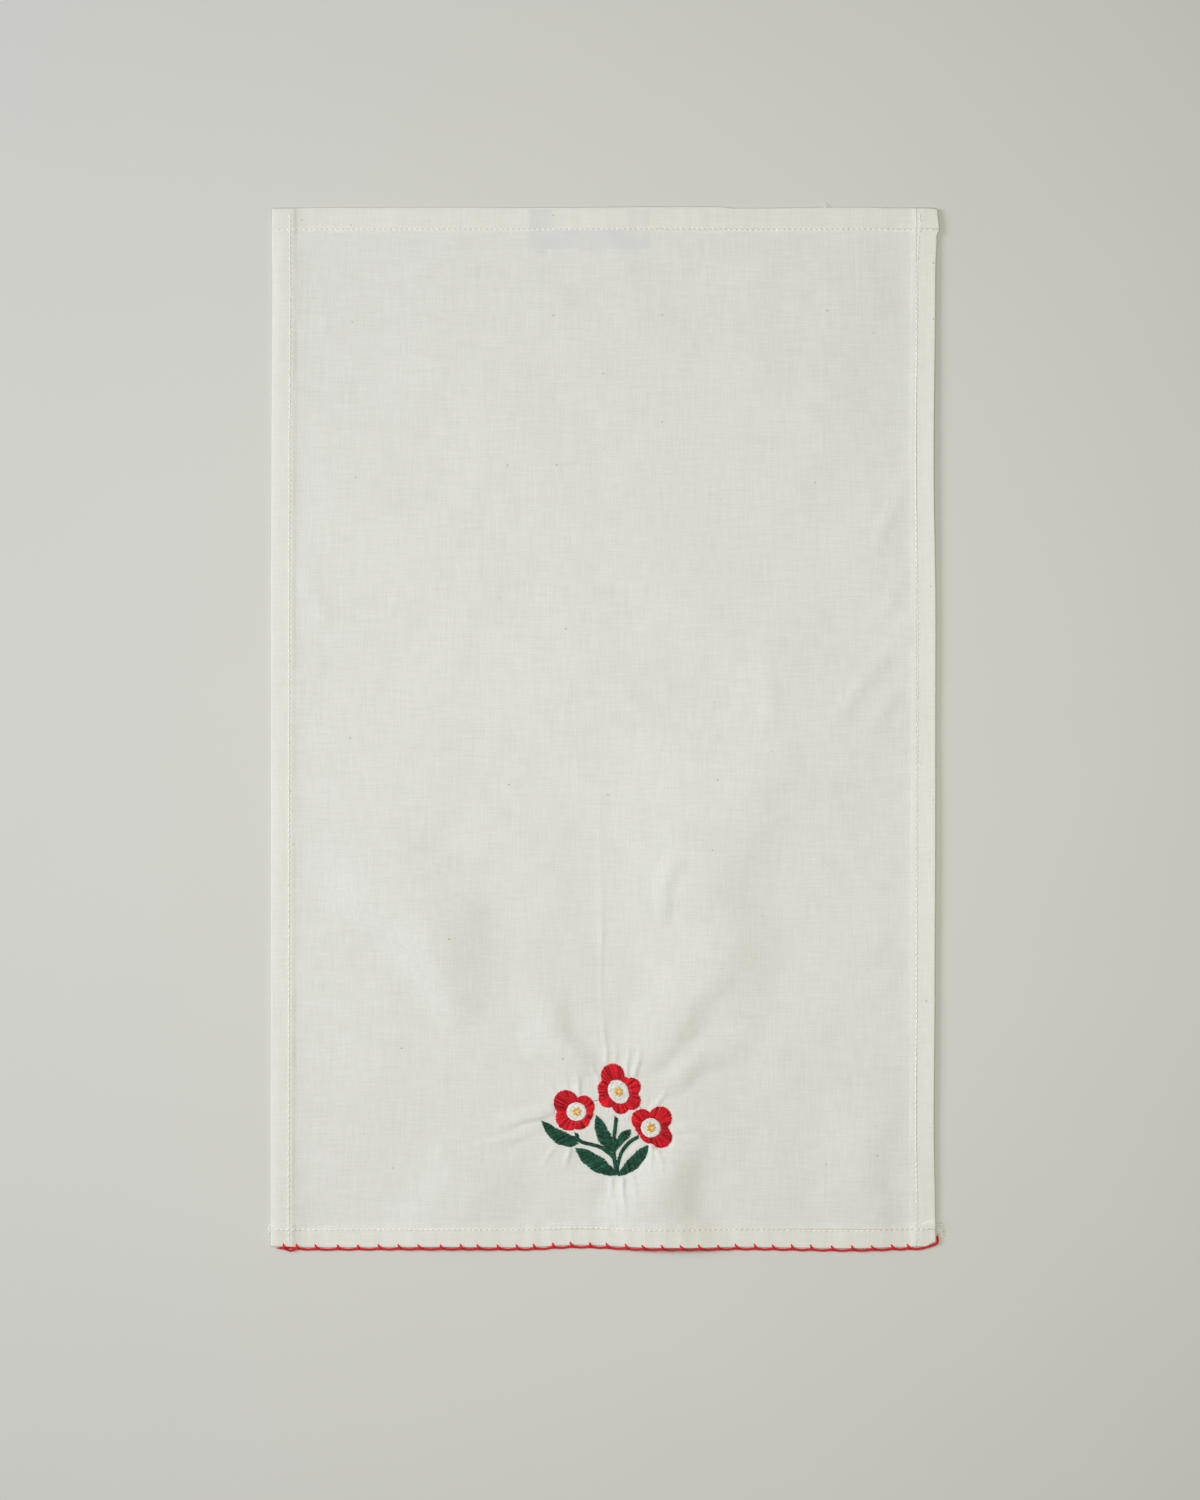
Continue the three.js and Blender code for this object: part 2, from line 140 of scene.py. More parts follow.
# Creases, each a line from where it is sharpest: how far it bows to its left, how high it is (below 0 for a
# trough), and how far it falls away to its left and to its right. Broad ones of the whole cloth come first,
# then those that run out from the sprig, then the narrow puckers close to the stitching.
CREASES = table(
    "x0 y0 x1 y1 bow high left right",
    (-84, -196, -212, -40, 0, 6.0, 36, 80),
    (66, -200, 206, 52, 48, 3.6, 110, 84),
    (180, -372, 192, -195, 4, 1.8, 60, 32),
    (-86, -276, -104, -424, 0, 2.2, 56, 70),
    (36, -280, 58, -424, 0, 6.0, 50, 60),
    (174, 384, 178, 190, 0, 0.5, 34, 60),
    (112, -6, 108, 80, 0, 0.7, 10, 16),
    (150, 0, 223, 94, -3, 1.0, 10, 12),
    (174, -8, 223, 42, 2, 0.8, 9, 9),
    (176, 60, 223, 126, 0, 0.6, 8, 8),
    (182, 116, 212, 180, -2, 1.0, 14, 7),
    (-186, 66, -205, 128, 2, 0.7, 16, 12),
    (-108, -188, -213, -189, 0, 0.4, 7, 4),
    (0, -222, -2, -30, 0, 0.28, 4.5, 3.2),
    (16, -233, 88, -104, -18, 2.7, 52, 27),
    (33, -245, 105, -196, -3, 1.8, 19, 18),
    (-13, -240, -60, -160, 0, 2.8, 34, 24),
    (38, -132, 58, -62, 2, 1.0, 14, 12),
    (-30, -258.6, -86, -275.6, 1, 1.3, 5, 13),
    (-34, -268, -92, -285, 1, 0.6, 10, 6),
    (44, -271, 82, -279, 0, 1, 8, 8),
    (5.5, -297.4, 6, -326, 0, 0.92, 2.8, 3),
    (12.8, -293.8, 14.4, -336, 0, 1.26, 3, 3.4),
    (20, -295.4, 22.6, -324, 0, 0.57, 3, 3),
    (-15, -255.5, -18.6, -230, 0, 1.03, 3.2, 3),
    (-20.4, -252.2, -24, -234, 0, -0.57, 2.6, 2.6),
    (16.1, -244, 17.4, -212, 0, 0.92, 3, 2.2),
    (20, -245.8, 26, -212, 0, 1.03, 3.2, 4),
    (3, -239.2, 0.4, -188, 0, 0.52, 3, 2.4),
    (8.5, -233.5, 9, -208, 0, 0.46, 3, 2.4),
    (-21.3, -279.6, -26, -303, 0, 0.92, 2.4, 3.4),
    (33.9, -262.2, 44, -244, 0, 0.92, 3.4, 3),
    (30.5, -260.5, 33.4, -248, 0, -0.52, 2.4, 2.4),
    (33.2, -280.9, 32.4, -303, 0, 0.8, 2.4, 3),
    (36.3, -282.1, 42, -306, 0, 0.69, 3, 3),
    (-2, -242.4, -9, -226, 0, 0.69, 3, 3),
    (-31, -282.8, -44, -301, 0, 0.46, 3, 3.4),
    (-30.3, -250.3, -42, -236, 0, 0.46, 3.4, 3),
    (-52, -278, -98, -284, 0, 0.5, 5, 3),
)


class Sewing(NamedTuple):
    """How high a thread runs over the face and at the back, how far it arches up between, and its radius."""

    top: float
    under: float
    crown: float
    radius: float


PETAL_SEWING = Sewing(1.25, 0.3, 0.6, 0.23)
SATIN_SEWING = Sewing(1.25, 0.3, 0.45, 0.23)
EYE_SEWING = Sewing(1.62, 0.3, 0.2, 0.24)
STAR_SEWING = Sewing(2.15, 1.2, 0.12, 0.4)
CROSSING_SEWING = Sewing(1.15, 0.5, 0.1, 0.2)
# The dark tone of the pads under satin stitches, painted shade for the gaps between the stitches.
PAD_SHADE_TONE = 0.15


class Bloom(NamedTuple):
    """An eye with petals round it. A petal is a disc: the turn to its middle, how far out, its radius."""

    name: str
    at: tuple
    eye: tuple
    lean: float
    star_turn: float
    petals: dict


BLOOMS = (
    Bloom(
        "left",
        (-18, -261),
        (14, 12.6),
        0,
        10,
        table(
            "turn out size", (140, 9.6, 8.6), (35, 6, 7.6), (-10, 4.5, 7.3), (-70, 5, 7.9), (-142, 7, 9)
        ),
    ),
    Bloom(
        "middle",
        (10.5, -247.5),
        (14, 17),
        30,
        22,
        table(
            "turn out size",
            (110, 12, 8.2),
            (60, 3, 8.4),
            (20, 9.5, 6.5),
            (-35, 11, 6.5),
            (-80, 9.5, 6.2),
            (-148, 8.5, 6.6),
            (166, 8, 6.8),
        ),
    ),
    Bloom(
        "right",
        (32.5, -272),
        (14, 13),
        -20,
        0,
        table(
            "turn out size",
            (46, 9.4, 8),
            (138, 8.4, 7.4),
            (160, 3.6, 7.8),
            (-92, 3.2, 7.8),
            (-43, 9.7, 7.6),
            (0, 3, 9),
        ),
    ),
)

STEMS = (
    ((9.3, -303.6), (8, -295), (7.2, -286), (7.6, -278), (9, -265)),
    ((8.6, -298), (6.5, -291.6), (-1, -285.7), (-7, -283.6), (-13.5, -282), (-17, -279.6), (-18, -275.8)),
    ((9.5, -303), (10, -297), (12, -290), (15, -285), (19, -281), (24, -278.2)),
)


class Leaf(NamedTuple):
    """A pointed lens from foot to tip, widest at the share full, its middle line bowed left by bend."""

    name: str
    foot: tuple
    tip: tuple
    wide: float
    full: float
    bend: float


LEAVES = (
    Leaf("far_left", (-17, -282.4), (-41.6, -267.6), 9.4, 0.36, 3),
    Leaf("low_left", (9, -303.8), (-18.6, -286), 10.6, 0.5, 1),
    Leaf("inner_left", (7.2, -288.5), (-4.7, -264.2), 9.2, 0.45, 1.2),
    Leaf("inner_right", (7.2, -290), (18.4, -273.4), 6.2, 0.7, 1.4),
    Leaf("low_right", (10.4, -304.6), (30.4, -284.2), 8.6, 0.52, -1.4),
)

# Where the yarn is stitched to the bottom fold, across the towel.
STITCHES = (
    -216.5, -207.7, -194.8, -179.9, -166.3, -152, -138.5, -124.9, -110, -96.4, -84.8, -71.3,
    -58.4, -46.8, -33.9, -21.7, -8.8, 2.7, 15.6, 27.1, 40, 52.9, 65.2, 78.1,
    90.3, 103.2, 115.4, 128.3, 141.2, 155.4, 169, 182.6, 196.2, 207,
)

# Short ends of thread that stand out of the hems: root, middle and tip.
LOOSE_ENDS = (
    ((-224.8, -336.6, 1.2), (-226.6, -338.6, 1.5), (-226.9, -342.4, 0.9)),
    ((-224.8, -338.2, 1.1), (-227.3, -340.2, 1.3), (-226.2, -343.6, 0.7)),
    ((-224.7, -339.6, 1.1), (-226.2, -341.2, 1.6), (-227.4, -344.4, 0.6)),
    ((220.4, -338.6, 1.7), (225.1, -337.6, 1.6), (231.3, -338.2, 0.5)),
    ((224.6, -342.6, 1.4), (227, -343.2, 1.3), (229, -343.7, 0.5)),
    ((216, -337.5, 2.1), (222.5, -335.6, 2.4), (229.5, -336.4, 0.9)),
    ((218.5, -340.5, 2.3), (224.5, -340.2, 2.3), (231.5, -342.8, 0.6)),
    ((221.5, -336.5, 2.2), (228, -339.5, 1.9), (230.6, -345.6, 0.5)),
    ((225.5, -344, 1.5), (228.5, -346.2, 1.0), (232, -345.2, 0.4)),
    ((213.5, -338.8, 2.1), (220.5, -341.4, 2.5), (227.8, -340.6, 1.4)),
    ((149.8, 351.8, 1.2), (150.8, 354.0, 1.4), (151.6, 355.4, 0.6)),
)


# Numbers and curves


def eased(value, start, end):
    """0 before start, 1 after end, and 3s^2 - 2s^3 between them, where s is the share of the way."""
    share = np.clip((value - start) / (end - start), 0, 1)
    return share * share * (3 - 2 * share)


def along(rows, key, column, place):
    """The column's value at a place along the table's key, eased between its rows."""
    above = np.clip(np.searchsorted(rows[key], place, side="right"), 1, len(rows[key]) - 1)
    low, high = rows[key][above - 1], rows[key][above]
    start, end = rows[column][above - 1], rows[column][above]
    return start + (end - start) * eased(place, low, high)


def unit(vectors):
    """Each vector divided by its length."""
    return vectors / np.maximum(np.linalg.norm(vectors, axis=-1, keepdims=True), 1e-9)


def smooth_line(points, count):
    """count places evenly spaced along a Catmull-Rom curve through the points.

    Between points b and c, with a before and d after, the place at share s is half of
    2b + (c - a)s + (2a - 5b + 4c - d)s^2 + (3b - a - 3c + d)s^3.
    """
    known = np.array(points, float)
    padded = np.concatenate([2 * known[:1] - known[1:2], known, 2 * known[-1:] - known[-2:-1]])
    fine = np.linspace(0, len(known) - 1, 40 * (len(known) - 1) + 1)
    first = np.minimum(fine.astype(int), len(known) - 2)
    s = (fine - first)[:, None]
    a, b, c, d = (padded[first + k] for k in range(4))
    curve = (2 * b + (c - a) * s + (2 * a - 5 * b + 4 * c - d) * s**2 + (3 * b - a - 3 * c + d) * s**3) / 2
    run = np.concatenate([[0], np.cumsum(np.linalg.norm(np.diff(curve, axis=0), axis=1))])
    wanted = np.linspace(0, run[-1], count)
    return np.stack([np.interp(wanted, run, axis) for axis in curve.T], 1)


def drifting(count, knots, rng):
    """count values from 0 to 1 that drift smoothly between evenly spaced random knots."""
    return np.interp(np.linspace(0, knots, count), np.arange(knots + 1), rng.random(knots + 1))


# Meshes


class Part(NamedTuple):
    """Points, one array of faces for each number of corners, and a tone for each point."""

    points: np.ndarray
    faces: list
    tone: np.ndarray


def joined(parts):
    """Several parts as one, their corner numbers moved on past the points before them."""
    starts = np.cumsum([0] + [len(part.points) for part in parts[:-1]])
    return Part(
        np.concatenate([part.points for part in parts]),
        [corners + start for part, start in zip(parts, starts) for corners in part.faces],
        np.concatenate([part.tone for part in parts]),
    )


def skinned(rings, closed=False, tone=0.5):
    """Tubes from rings of points with shape (tubes, rings, around, 3), quads between neighbouring rings.

    An open tube gets a face over its first and its last ring.
    """
    count, length, around = rings.shape[:3]
    ring = np.arange(length if closed else length - 1)[:, None]
    side = np.arange(around)[None]
    after = (side + 1) % around
    onward = (ring + 1) % length
    corners = [ring * around + side, ring * around + after, onward * around + after, onward * around + side]
    quads = np.stack(corners, -1).reshape(-1, 4)
    starts = np.arange(count)[:, None, None] * length * around
    faces = [(starts + quads).reshape(-1, 4)]
    if not closed:
        ends = np.stack([side[0, ::-1], (length - 1) * around + side[0]])
        faces.append((starts + ends).reshape(-1, around))
    tones = np.broadcast_to(np.asarray(tone, float), rings.shape[:3])
    return Part(rings.reshape(-1, 3), faces, tones.ravel())


def tubes(paths, aside, high, wide, sides=5, closed=False, tone=0.5):
    """Tubes along paths of shape (tubes, steps, 3).

    A ring's point at turn t is the path's place + high cos(t) up + wide sin(t) aside, where up is square to
    both the path and aside.
    """
    ahead = np.roll(paths, -1, 1) - np.roll(paths, 1, 1) if closed else np.gradient(paths, axis=1)
    ahead = unit(ahead)
    aside = np.broadcast_to(aside, paths.shape)
    aside = unit(aside - (aside * ahead).sum(-1, keepdims=True) * ahead)
    up = np.cross(aside, ahead)
    turn = 2 * np.pi * (np.arange(sides) + 0.5) / sides
    shape = (*paths.shape[:2], sides)
    lift = np.broadcast_to(high, shape) * np.cos(turn)
    reach = np.broadcast_to(wide, shape) * np.sin(turn)
    rings = paths[:, :, None] + lift[..., None] * up[:, :, None] + reach[..., None] * aside[:, :, None]
    return skinned(rings, closed, tone)


def thread_loops(starts, ends, top, under, crown, radius, tone):
    """Threads sewn through the cloth, each a closed loop in an upright plane.

    At turn t the thread is at the share (1 - sgn(cos t)|cos t|^0.6) / 2 of the way from start to end.
    Its height goes with sgn(sin t)|sin t|^0.5 from the middle of the cloth, up to top + 4 crown s(1 - s)
    over the face and down to under at the back.
    """
    steps = 12
    count = len(starts)
    turn = 2 * np.pi * np.arange(steps) / steps
    share = 0.5 - 0.5 * np.sign(np.cos(turn)) * np.abs(np.cos(turn)) ** 0.6
    rise = np.sign(np.sin(turn)) * np.abs(np.sin(turn)) ** 0.5
    top, under, crown, radius, tone = (
        np.broadcast_to(np.asarray(v, float), count)[:, None] for v in (top, under, crown, radius, tone)
    )
    middle = (top + under) / 2
    over = top + 4 * crown * share * (1 - share)
    height = middle + np.where(rise > 0, rise * (over - middle), rise * (middle - under))
    run = ends - starts
    place = starts[:, None] + run[:, None] * share[:, None]
    paths = np.concatenate([place, height[..., None]], 2)
    way = unit(run)
    aside = np.stack([-way[:, 1], way[:, 0], np.zeros(count)], 1)[:, None]
    return tubes(paths, aside, radius[..., None], radius[..., None], closed=True, tone=tone[..., None])


def dome(outline, middle, low, high, tone):
    """A closed pad over a star-shaped outline: at the share s from its middle to its rim the height is
    low + (high - low) sqrt(1 - s^2), and its base lies just under the rim."""
    shares = np.array([1, 0.99, 0.94, 0.82, 0.62, 0.36, 0.1])
    heights = low + (high - low) * np.sqrt(1 - np.minimum(shares, 1) ** 2)
    heights[0] = low - 0.1
    flat = middle + (outline - middle) * shares[:, None, None]
    level = np.broadcast_to(heights[:, None, None], (*flat.shape[:2], 1))
    return skinned(np.concatenate([flat, level], 2)[None], tone=tone)


def new_object(name, part, material):
    """One part as an object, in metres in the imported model's frame, its tone as an attribute."""
    mesh = bpy.data.meshes.new(name)
    mesh.vertices.add(len(part.points))
    mesh.vertices.foreach_set("co", (part.points * MM + SHIFT).astype(np.float32).ravel())
    sizes = np.concatenate([np.full(len(corners), corners.shape[1]) for corners in part.faces])
    mesh.loops.add(int(sizes.sum()))
    corners = np.concatenate([corners.ravel() for corners in part.faces])
    mesh.loops.foreach_set("vertex_index", corners.astype(np.int32))
    mesh.polygons.add(len(sizes))
    mesh.polygons.foreach_set("loop_start", (np.cumsum(sizes) - sizes).astype(np.int32))
    mesh.polygons.foreach_set("use_smooth", np.ones(len(sizes), bool))
    tone = mesh.attributes.new("tone", "FLOAT", "POINT")
    tone.data.foreach_set("value", part.tone.astype(np.float32))
    mesh.update(calc_edges=True)
    if mesh.validate():
        raise RuntimeError(f"{name} has faulty faces")
    mesh.materials.append(material)
    made = bpy.data.objects.new(name, mesh)
    bpy.context.scene.collection.objects.link(made)
    return made


def add_piece(name, part, material, replaces=()):
    """A piece of the towel, riding on its only body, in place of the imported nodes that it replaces."""
    piece = new_object(name, part, material)
    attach(piece, "root")
    if replaces:
        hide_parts(*replaces)
    return piece


# Materials


def srgb(red, green, blue):
    """A colour as it is seen, from 0 to 255, as the linear one that a shader takes."""
    share = np.array([red, green, blue]) / 255
    linear = np.where(share <= 0.04045, share / 12.92, ((share + 0.055) / 1.055) ** 2.4)
    return tuple(float(value) for value in linear)


class Shader:
    """A new material's node tree, with short calls for the nodes that the finishes are made of."""

    def __init__(self, name, roughness, sheen=0.0):
        self.material = bpy.data.materials.new(name)
        self.material.use_nodes = True
        self.tree = self.material.node_tree
        self.surface = self.tree.nodes["Principled BSDF"]
        self.surface.inputs["Roughness"].default_value = roughness
        self.surface.inputs["Specular IOR Level"].default_value = 0.3
        self.surface.inputs["Sheen Weight"].default_value = sheen
        self.surface.inputs["Sheen Roughness"].default_value = 0.5

    def node(self, kind, settings, inputs, output=0):
        made = self.tree.nodes.new("ShaderNode" + kind)
        for key, value in settings.items():
            setattr(made, key, value)
        for key, value in inputs.items():
            if isinstance(value, bpy.types.NodeSocket):
                self.tree.links.new(value, made.inputs[key])
            else:
                made.inputs[key].default_value = value
        return made.outputs[output]

    def math(self, operation, a, b=0.0):
        return self.node("Math", {"operation": operation}, {0: a, 1: b})

    def shifted(self, base, value, weight):
        """The base plus weight times what the value is over a half."""
        return self.math("ADD", base, self.math("MULTIPLY", self.math("SUBTRACT", value, 0.5), weight))

    def clamped(self, value):
        """The value held between 0 and 1."""
        return self.math("MAXIMUM", self.math("MINIMUM", value, 1.0), 0.0)

    def tone(self):
        return self.node("Attribute", {"attribute_name": "tone"}, {}, "Fac")

    def place(self):
        """The place on the piece in millimetres of the towel's frame."""
        texture = self.node("TexCoord", {}, {}, "Object")
        from_shift = self.node("VectorMath", {"operation": "SUBTRACT"}, {0: texture, 1: tuple(SHIFT)})
        scaled = self.node("VectorMath", {"operation": "SCALE"}, {0: from_shift, "Scale": 1 / MM})
        return scaled

    def split(self, vector):
        parted = self.node("SeparateXYZ", {}, {0: vector})
        return parted, parted.node.outputs["Y"]

    def stretched(self, vector, across, down):
        return self.node("VectorMath", {"operation": "MULTIPLY"}, {0: vector, 1: (across, down, 1)})

    def noise(self, vector, scale, detail=2.0):
        return self.node("TexNoise", {}, {"Vector": vector, "Scale": scale, "Detail": detail}, "Fac")

    def step(self, value, start, end, low=0.0, high=1.0):
        settings = {"interpolation_type": "SMOOTHSTEP"}
        inputs = {"Value": value, "From Min": start, "From Max": end, "To Min": low, "To Max": high}
        return self.node("MapRange", settings, inputs)

    def within(self, value, low, high, soft):
        """1 between low and high, fading to 0 over twice soft at each of them."""
        rise = self.step(value, low - soft, low + soft)
        fall = self.step(value, high - soft, high + soft, 1.0, 0.0)
        return self.math("MULTIPLY", rise, fall)

    def mix(self, share, a, b):
        mixed = self.tree.nodes.new("ShaderNodeMix")
        mixed.data_type = "RGBA"
        for socket, value in ((mixed.inputs[0], share), (mixed.inputs[6], a), (mixed.inputs[7], b)):
            if isinstance(value, bpy.types.NodeSocket):
                self.tree.links.new(value, socket)
            else:
                socket.default_value = (*value, 1) if isinstance(value, tuple) else value
        return mixed.outputs[2]

    def colour(self, socket):
        self.tree.links.new(socket, self.surface.inputs["Base Color"])

    def bump(self, height, strength, distance):
        inputs = {"Height": height, "Strength": strength, "Distance": distance * MM}
        self.tree.links.new(self.node("Bump", {}, inputs, "Normal"), self.surface.inputs["Normal"])


def thread_finish(name, dark, light):
    """Embroidery thread: each strand its own tone, mottled along it, with fine fibres on it."""
    shader = Shader(name, 0.6)
    place = shader.place()
    share = shader.shifted(shader.tone(), shader.noise(place, 0.9, 3.0), 1.3)
    shader.colour(shader.mix(shader.clamped(share), dark, light))
    shader.bump(shader.noise(place, 9.0), 0.35, 0.05)
    return shader.material


def cotton_finish(colours):
    """Plain-weave cotton: paler and warmer where a hem doubles it, cooler over the tape behind it, and with
    painted shade along the hems' stitch lines.
    """
    shader = Shader("cotton_weave", 0.92, 0.12)
    place = shader.place()
    x, y = shader.split(place)
    soft = 0.4
    inside, above, below = HALF_WIDTH - SIDE_HEM, HALF_LENGTH - TOP_HEM, BOTTOM_HEM - HALF_LENGTH
    side = shader.step(shader.math("ABSOLUTE", x), inside - soft, inside + soft)
    top = shader.step(y, above - soft, above + soft)
    bottom = shader.step(y, below - soft, below + soft, 1.0, 0.0)
    hem = shader.math("MAXIMUM", side, shader.math("MAXIMUM", top, bottom))

    streak = shader.noise(shader.stretched(place, 0.28, 0.012), 1.0, 3.0)
    slub = shader.noise(shader.stretched(place, 0.012, 0.24), 1.0, 3.0)
    warp_grain = shader.noise(shader.stretched(place, 1.1, 0.06), 1.0, 2.0)
    weft_grain = shader.noise(shader.stretched(place, 0.06, 1.1), 1.0, 2.0)
    patch = shader.noise(place, 0.06, 2.0)
    cloud = shader.noise(place, 0.014, 2.0)
    shade = 0.5
    shade = shader.shifted(shade, streak, 0.36)
    shade = shader.shifted(shade, slub, 0.3)
    shade = shader.shifted(shade, warp_grain, 1.3)
    shade = shader.shifted(shade, weft_grain, 1.2)
    shade = shader.shifted(shade, patch, 0.4)
    shade = shader.clamped(shader.shifted(shade, cloud, 0.5))
    field = shader.mix(shade, tuple(colours.field_dark), tuple(colours.field_light))
    hem_colours = [tuple(share * value for value in colours.hem) for share in (0.95, 1.05)]
    colour = shader.mix(hem, field, shader.mix(shade, *hem_colours))

    left, right, foot = TAPE["left"], TAPE["right"], TAPE["foot"] + 1.4
    bar_top = TAPE["foot"] + TAPE["width"]
    bar = shader.math(
        "MULTIPLY", shader.within(x, left, right, 1.2), shader.within(y, foot, bar_top + 0.4, 1.2)
    )
    legs = shader.math(
        "ADD",
        shader.within(x, left - 0.2, left + TAPE["width"] + 1.6, 1.5),
        shader.math("MULTIPLY", shader.within(x, right - TAPE["width"] - 0.8, right, 1.5), 0.55),
    )
    legs = shader.math("MULTIPLY", legs, shader.within(y, bar_top, HALF_LENGTH - 1, 0.7))
    behind = shader.math("MAXIMUM", bar, shader.math("MINIMUM", legs, 1.0))
    behind = shader.math("MULTIPLY", behind, shader.step(patch, 0.3, 0.7, 0.55, 1.0))
    colour = shader.mix(behind, colour, tuple(colours.over_tape))

    # Painted shade along each hem's stitch line, where the cloth is drawn down: faint at the left edge,
    # strong at the right.
    half = 0.3
    seam = inside + SEAM_INSIDE
    seam_shade = shader.within(shader.math("ABSOLUTE", x), seam - half, seam + half, half)
    for seam in (above + SEAM_INSIDE, below - SEAM_INSIDE):
        seam_shade = shader.math("MAXIMUM", seam_shade, shader.within(y, seam - half, seam + half, half))
    seam_shade = shader.math("MULTIPLY", seam_shade, shader.step(x, -HALF_WIDTH, HALF_WIDTH, 0.12, 0.75))
    colour = shader.mix(seam_shade, colour, tuple(colours.seam))

    settings = {"voronoi_dimensions": "2D", "feature": "F1"}
    inputs = {"Vector": place, "Scale": 0.028, "Randomness": 1.0}
    cells = shader.node("TexVoronoi", settings, inputs, "Distance")
    chance, kind = shader.split(cells.node.outputs["Color"])
    reach = shader.step(kind, 0.0, 1.0, 0.008, 0.022)
    speck = shader.step(shader.math("DIVIDE", cells, reach), 0.6, 1.0, 0.5, 0.0)
    speck = shader.math("MULTIPLY", speck, shader.math("LESS_THAN", chance, 0.3))
    colour = shader.mix(speck, colour, tuple(colours.speck))
    shader.colour(colour)

    warp_pitch, weft_pitch = 0.42, 0.46
    warp = shader.math("SINE", shader.math("MULTIPLY", x, np.pi / warp_pitch))
    weft = shader.math("SINE", shader.math("MULTIPLY", y, np.pi / weft_pitch))
    crossings = shader.math("MULTIPLY", warp, weft)
    weave = shader.math("ADD", crossings, shader.math("MULTIPLY", warp_grain, 2.0))
    shader.bump(weave, 0.3, 0.05)
    return shader.material


def yarn_finish(colours):
    """Soft two-ply yarn, fuzzy, with painted light and shade: paler on its crowns, darker in the twist."""
    shader = Shader("edging_yarn", 0.75, 0.05)
    place = shader.place()
    fibres = shader.noise(place, 3.0, 4.0)
    share = shader.clamped(shader.shifted(shader.tone(), fibres, 0.8))
    shader.colour(shader.mix(share, tuple(colours.yarn_twist_shade), tuple(colours.yarn_crown_light)))
    shader.bump(shader.noise(place, 7.0, 3.0), 0.6, 0.12)
    return shader.material


def tape_finish(colours):
    """Flat cotton tape woven in a fine herringbone."""
    shader = Shader("tape_weave", 0.85, 0.2)
    place = shader.place()
    x, y = shader.split(place)
    chevron_width, rib_pitch = 1.8, 0.9
    slanted = shader.math("ADD", shader.math("PINGPONG", x, chevron_width), y)
    rib = shader.math("SINE", shader.math("MULTIPLY", slanted, 2 * np.pi / rib_pitch))
    grain = shader.math("ADD", shader.math("MULTIPLY", rib, 0.25), shader.noise(place, 1.5, 3.0))
    dark = tuple(colours.tape)
    light = tuple(min(1.0, 1.35 * value) for value in dark)
    shader.colour(shader.mix(grain, dark, light))
    shader.bump(rib, 0.5, 0.08)
    return shader.material


def floor_finish(colours):
    """A plain pale surface with a very faint grain."""
    shader = Shader("pale_surface", 0.8)
    place = shader.place()
    shade = tuple(colours.floor)
    paler = tuple(1.02 * value for value in shade)
    shader.colour(shader.mix(shader.noise(place, 0.01), shade, paler))
    return shader.material


# Cloth


def placed(x, y):
    """A flat place moved so that the edges follow the outline: near an edge it shifts by the table's
    stand-out, fading with 1 - eased over 60 mm from it."""
    reach = 60
    left = 1 - eased(x + HALF_WIDTH, 0, reach)
    right = 1 - eased(HALF_WIDTH - x, 0, reach)
    bottom = 1 - eased(y + HALF_LENGTH, 0, reach)
    top = 1 - eased(HALF_LENGTH - y, 0, reach)
    moved_x = x + right * along(LONG_EDGES, "y", "right", y) - left * along(LONG_EDGES, "y", "left", y)
    moved_y = y + top * along(SHORT_EDGES, "x", "top", x) - bottom * along(SHORT_EDGES, "x", "bottom", x)
    return moved_x, moved_y


def creases(x, y):
    """The sum of the table's creases.

    At the share s along its line, which bows by 4 bow s(1 - s), a crease is 6.75 s(1 - s)^2 of its full
    height, so that it dies out at both ends. Across it falls with (1 - d^2)^2, where d is the distance from
    the line over the width of that side, and the width grows from 0.6 of the table's to all of it. The line
    wanders by 0.15 sin(11 s + 7 high) of the width.
    """
    total = np.zeros_like(x)
    for x0, y0, x1, y1, bow, high, left, right in zip(*CREASES.values()):
        run_x, run_y = x1 - x0, y1 - y0
        length = np.hypot(run_x, run_y)
        share = np.clip(((x - x0) * run_x + (y - y0) * run_y) / length**2, 0, 1)
        off = ((y - y0) * run_x - (x - x0) * run_y) / length - 4 * bow * share * (1 - share)
        off = off + 0.15 * min(left, right) * np.sin(11 * share + 7 * high)
        half = np.where(off > 0, left, right) * (0.6 + 0.4 * share)
        across = np.maximum(1 - (off / half) ** 2, 0) ** 2
        total += high * 6.75 * share * (1 - share) ** 2 * across
    return total


def stitched_discs():
    """Middles and radii of discs that cover the leaves and the stems."""
    leaf_discs, stem_discs = 12, 16
    middles, radii = zip(*(leaf_rib(leaf, leaf_discs) for leaf in LEAVES))
    stems = [smooth_line(points, stem_discs) for points in STEMS]
    stem_radii = np.full(stem_discs * len(STEMS), STEM_WIDTH / 2)
    return np.concatenate([*middles, *stems]), np.concatenate([*radii, stem_radii])


def off_stitching(x, y):
    """How far a place is outside the nearest leaf, stem or bloom of the sprig."""
    nearest = np.full(x.shape, np.inf)
    for middle, radius in zip(*stitched_discs()):
        nearest = np.minimum(nearest, np.hypot(x - middle[0], y - middle[1]) - radius)
    for bloom in BLOOMS:
        off_x, off_y = x - bloom.at[0], y - bloom.at[1]
        reach = bloom_reach(bloom, np.arctan2(off_y, off_x).ravel()).reshape(x.shape)
        nearest = np.minimum(nearest, np.hypot(off_x, off_y) - reach)
    return nearest


def edge_lift(x, y):
    """The left edge swells over its hem and falls to the field. The right one rises to its fold with the
    square of the share of the way."""
    inward = x + HALF_WIDTH
    left = LEFT_ROLL["share"] * along(LONG_EDGES, "y", "swell", y)
    left = left * (1 - eased(inward, LEFT_ROLL["full"], LEFT_ROLL["gone"]))
    left = left * (LEFT_ROLL["edge"] + (1 - LEFT_ROLL["edge"]) * eased(inward, 0, LEFT_ROLL["crest"]))
    share = np.clip((x - HALF_WIDTH + RIGHT_RISE) / RIGHT_RISE, 0, 1)
    return left + along(LONG_EDGES, "y", "lift", y) * share**2


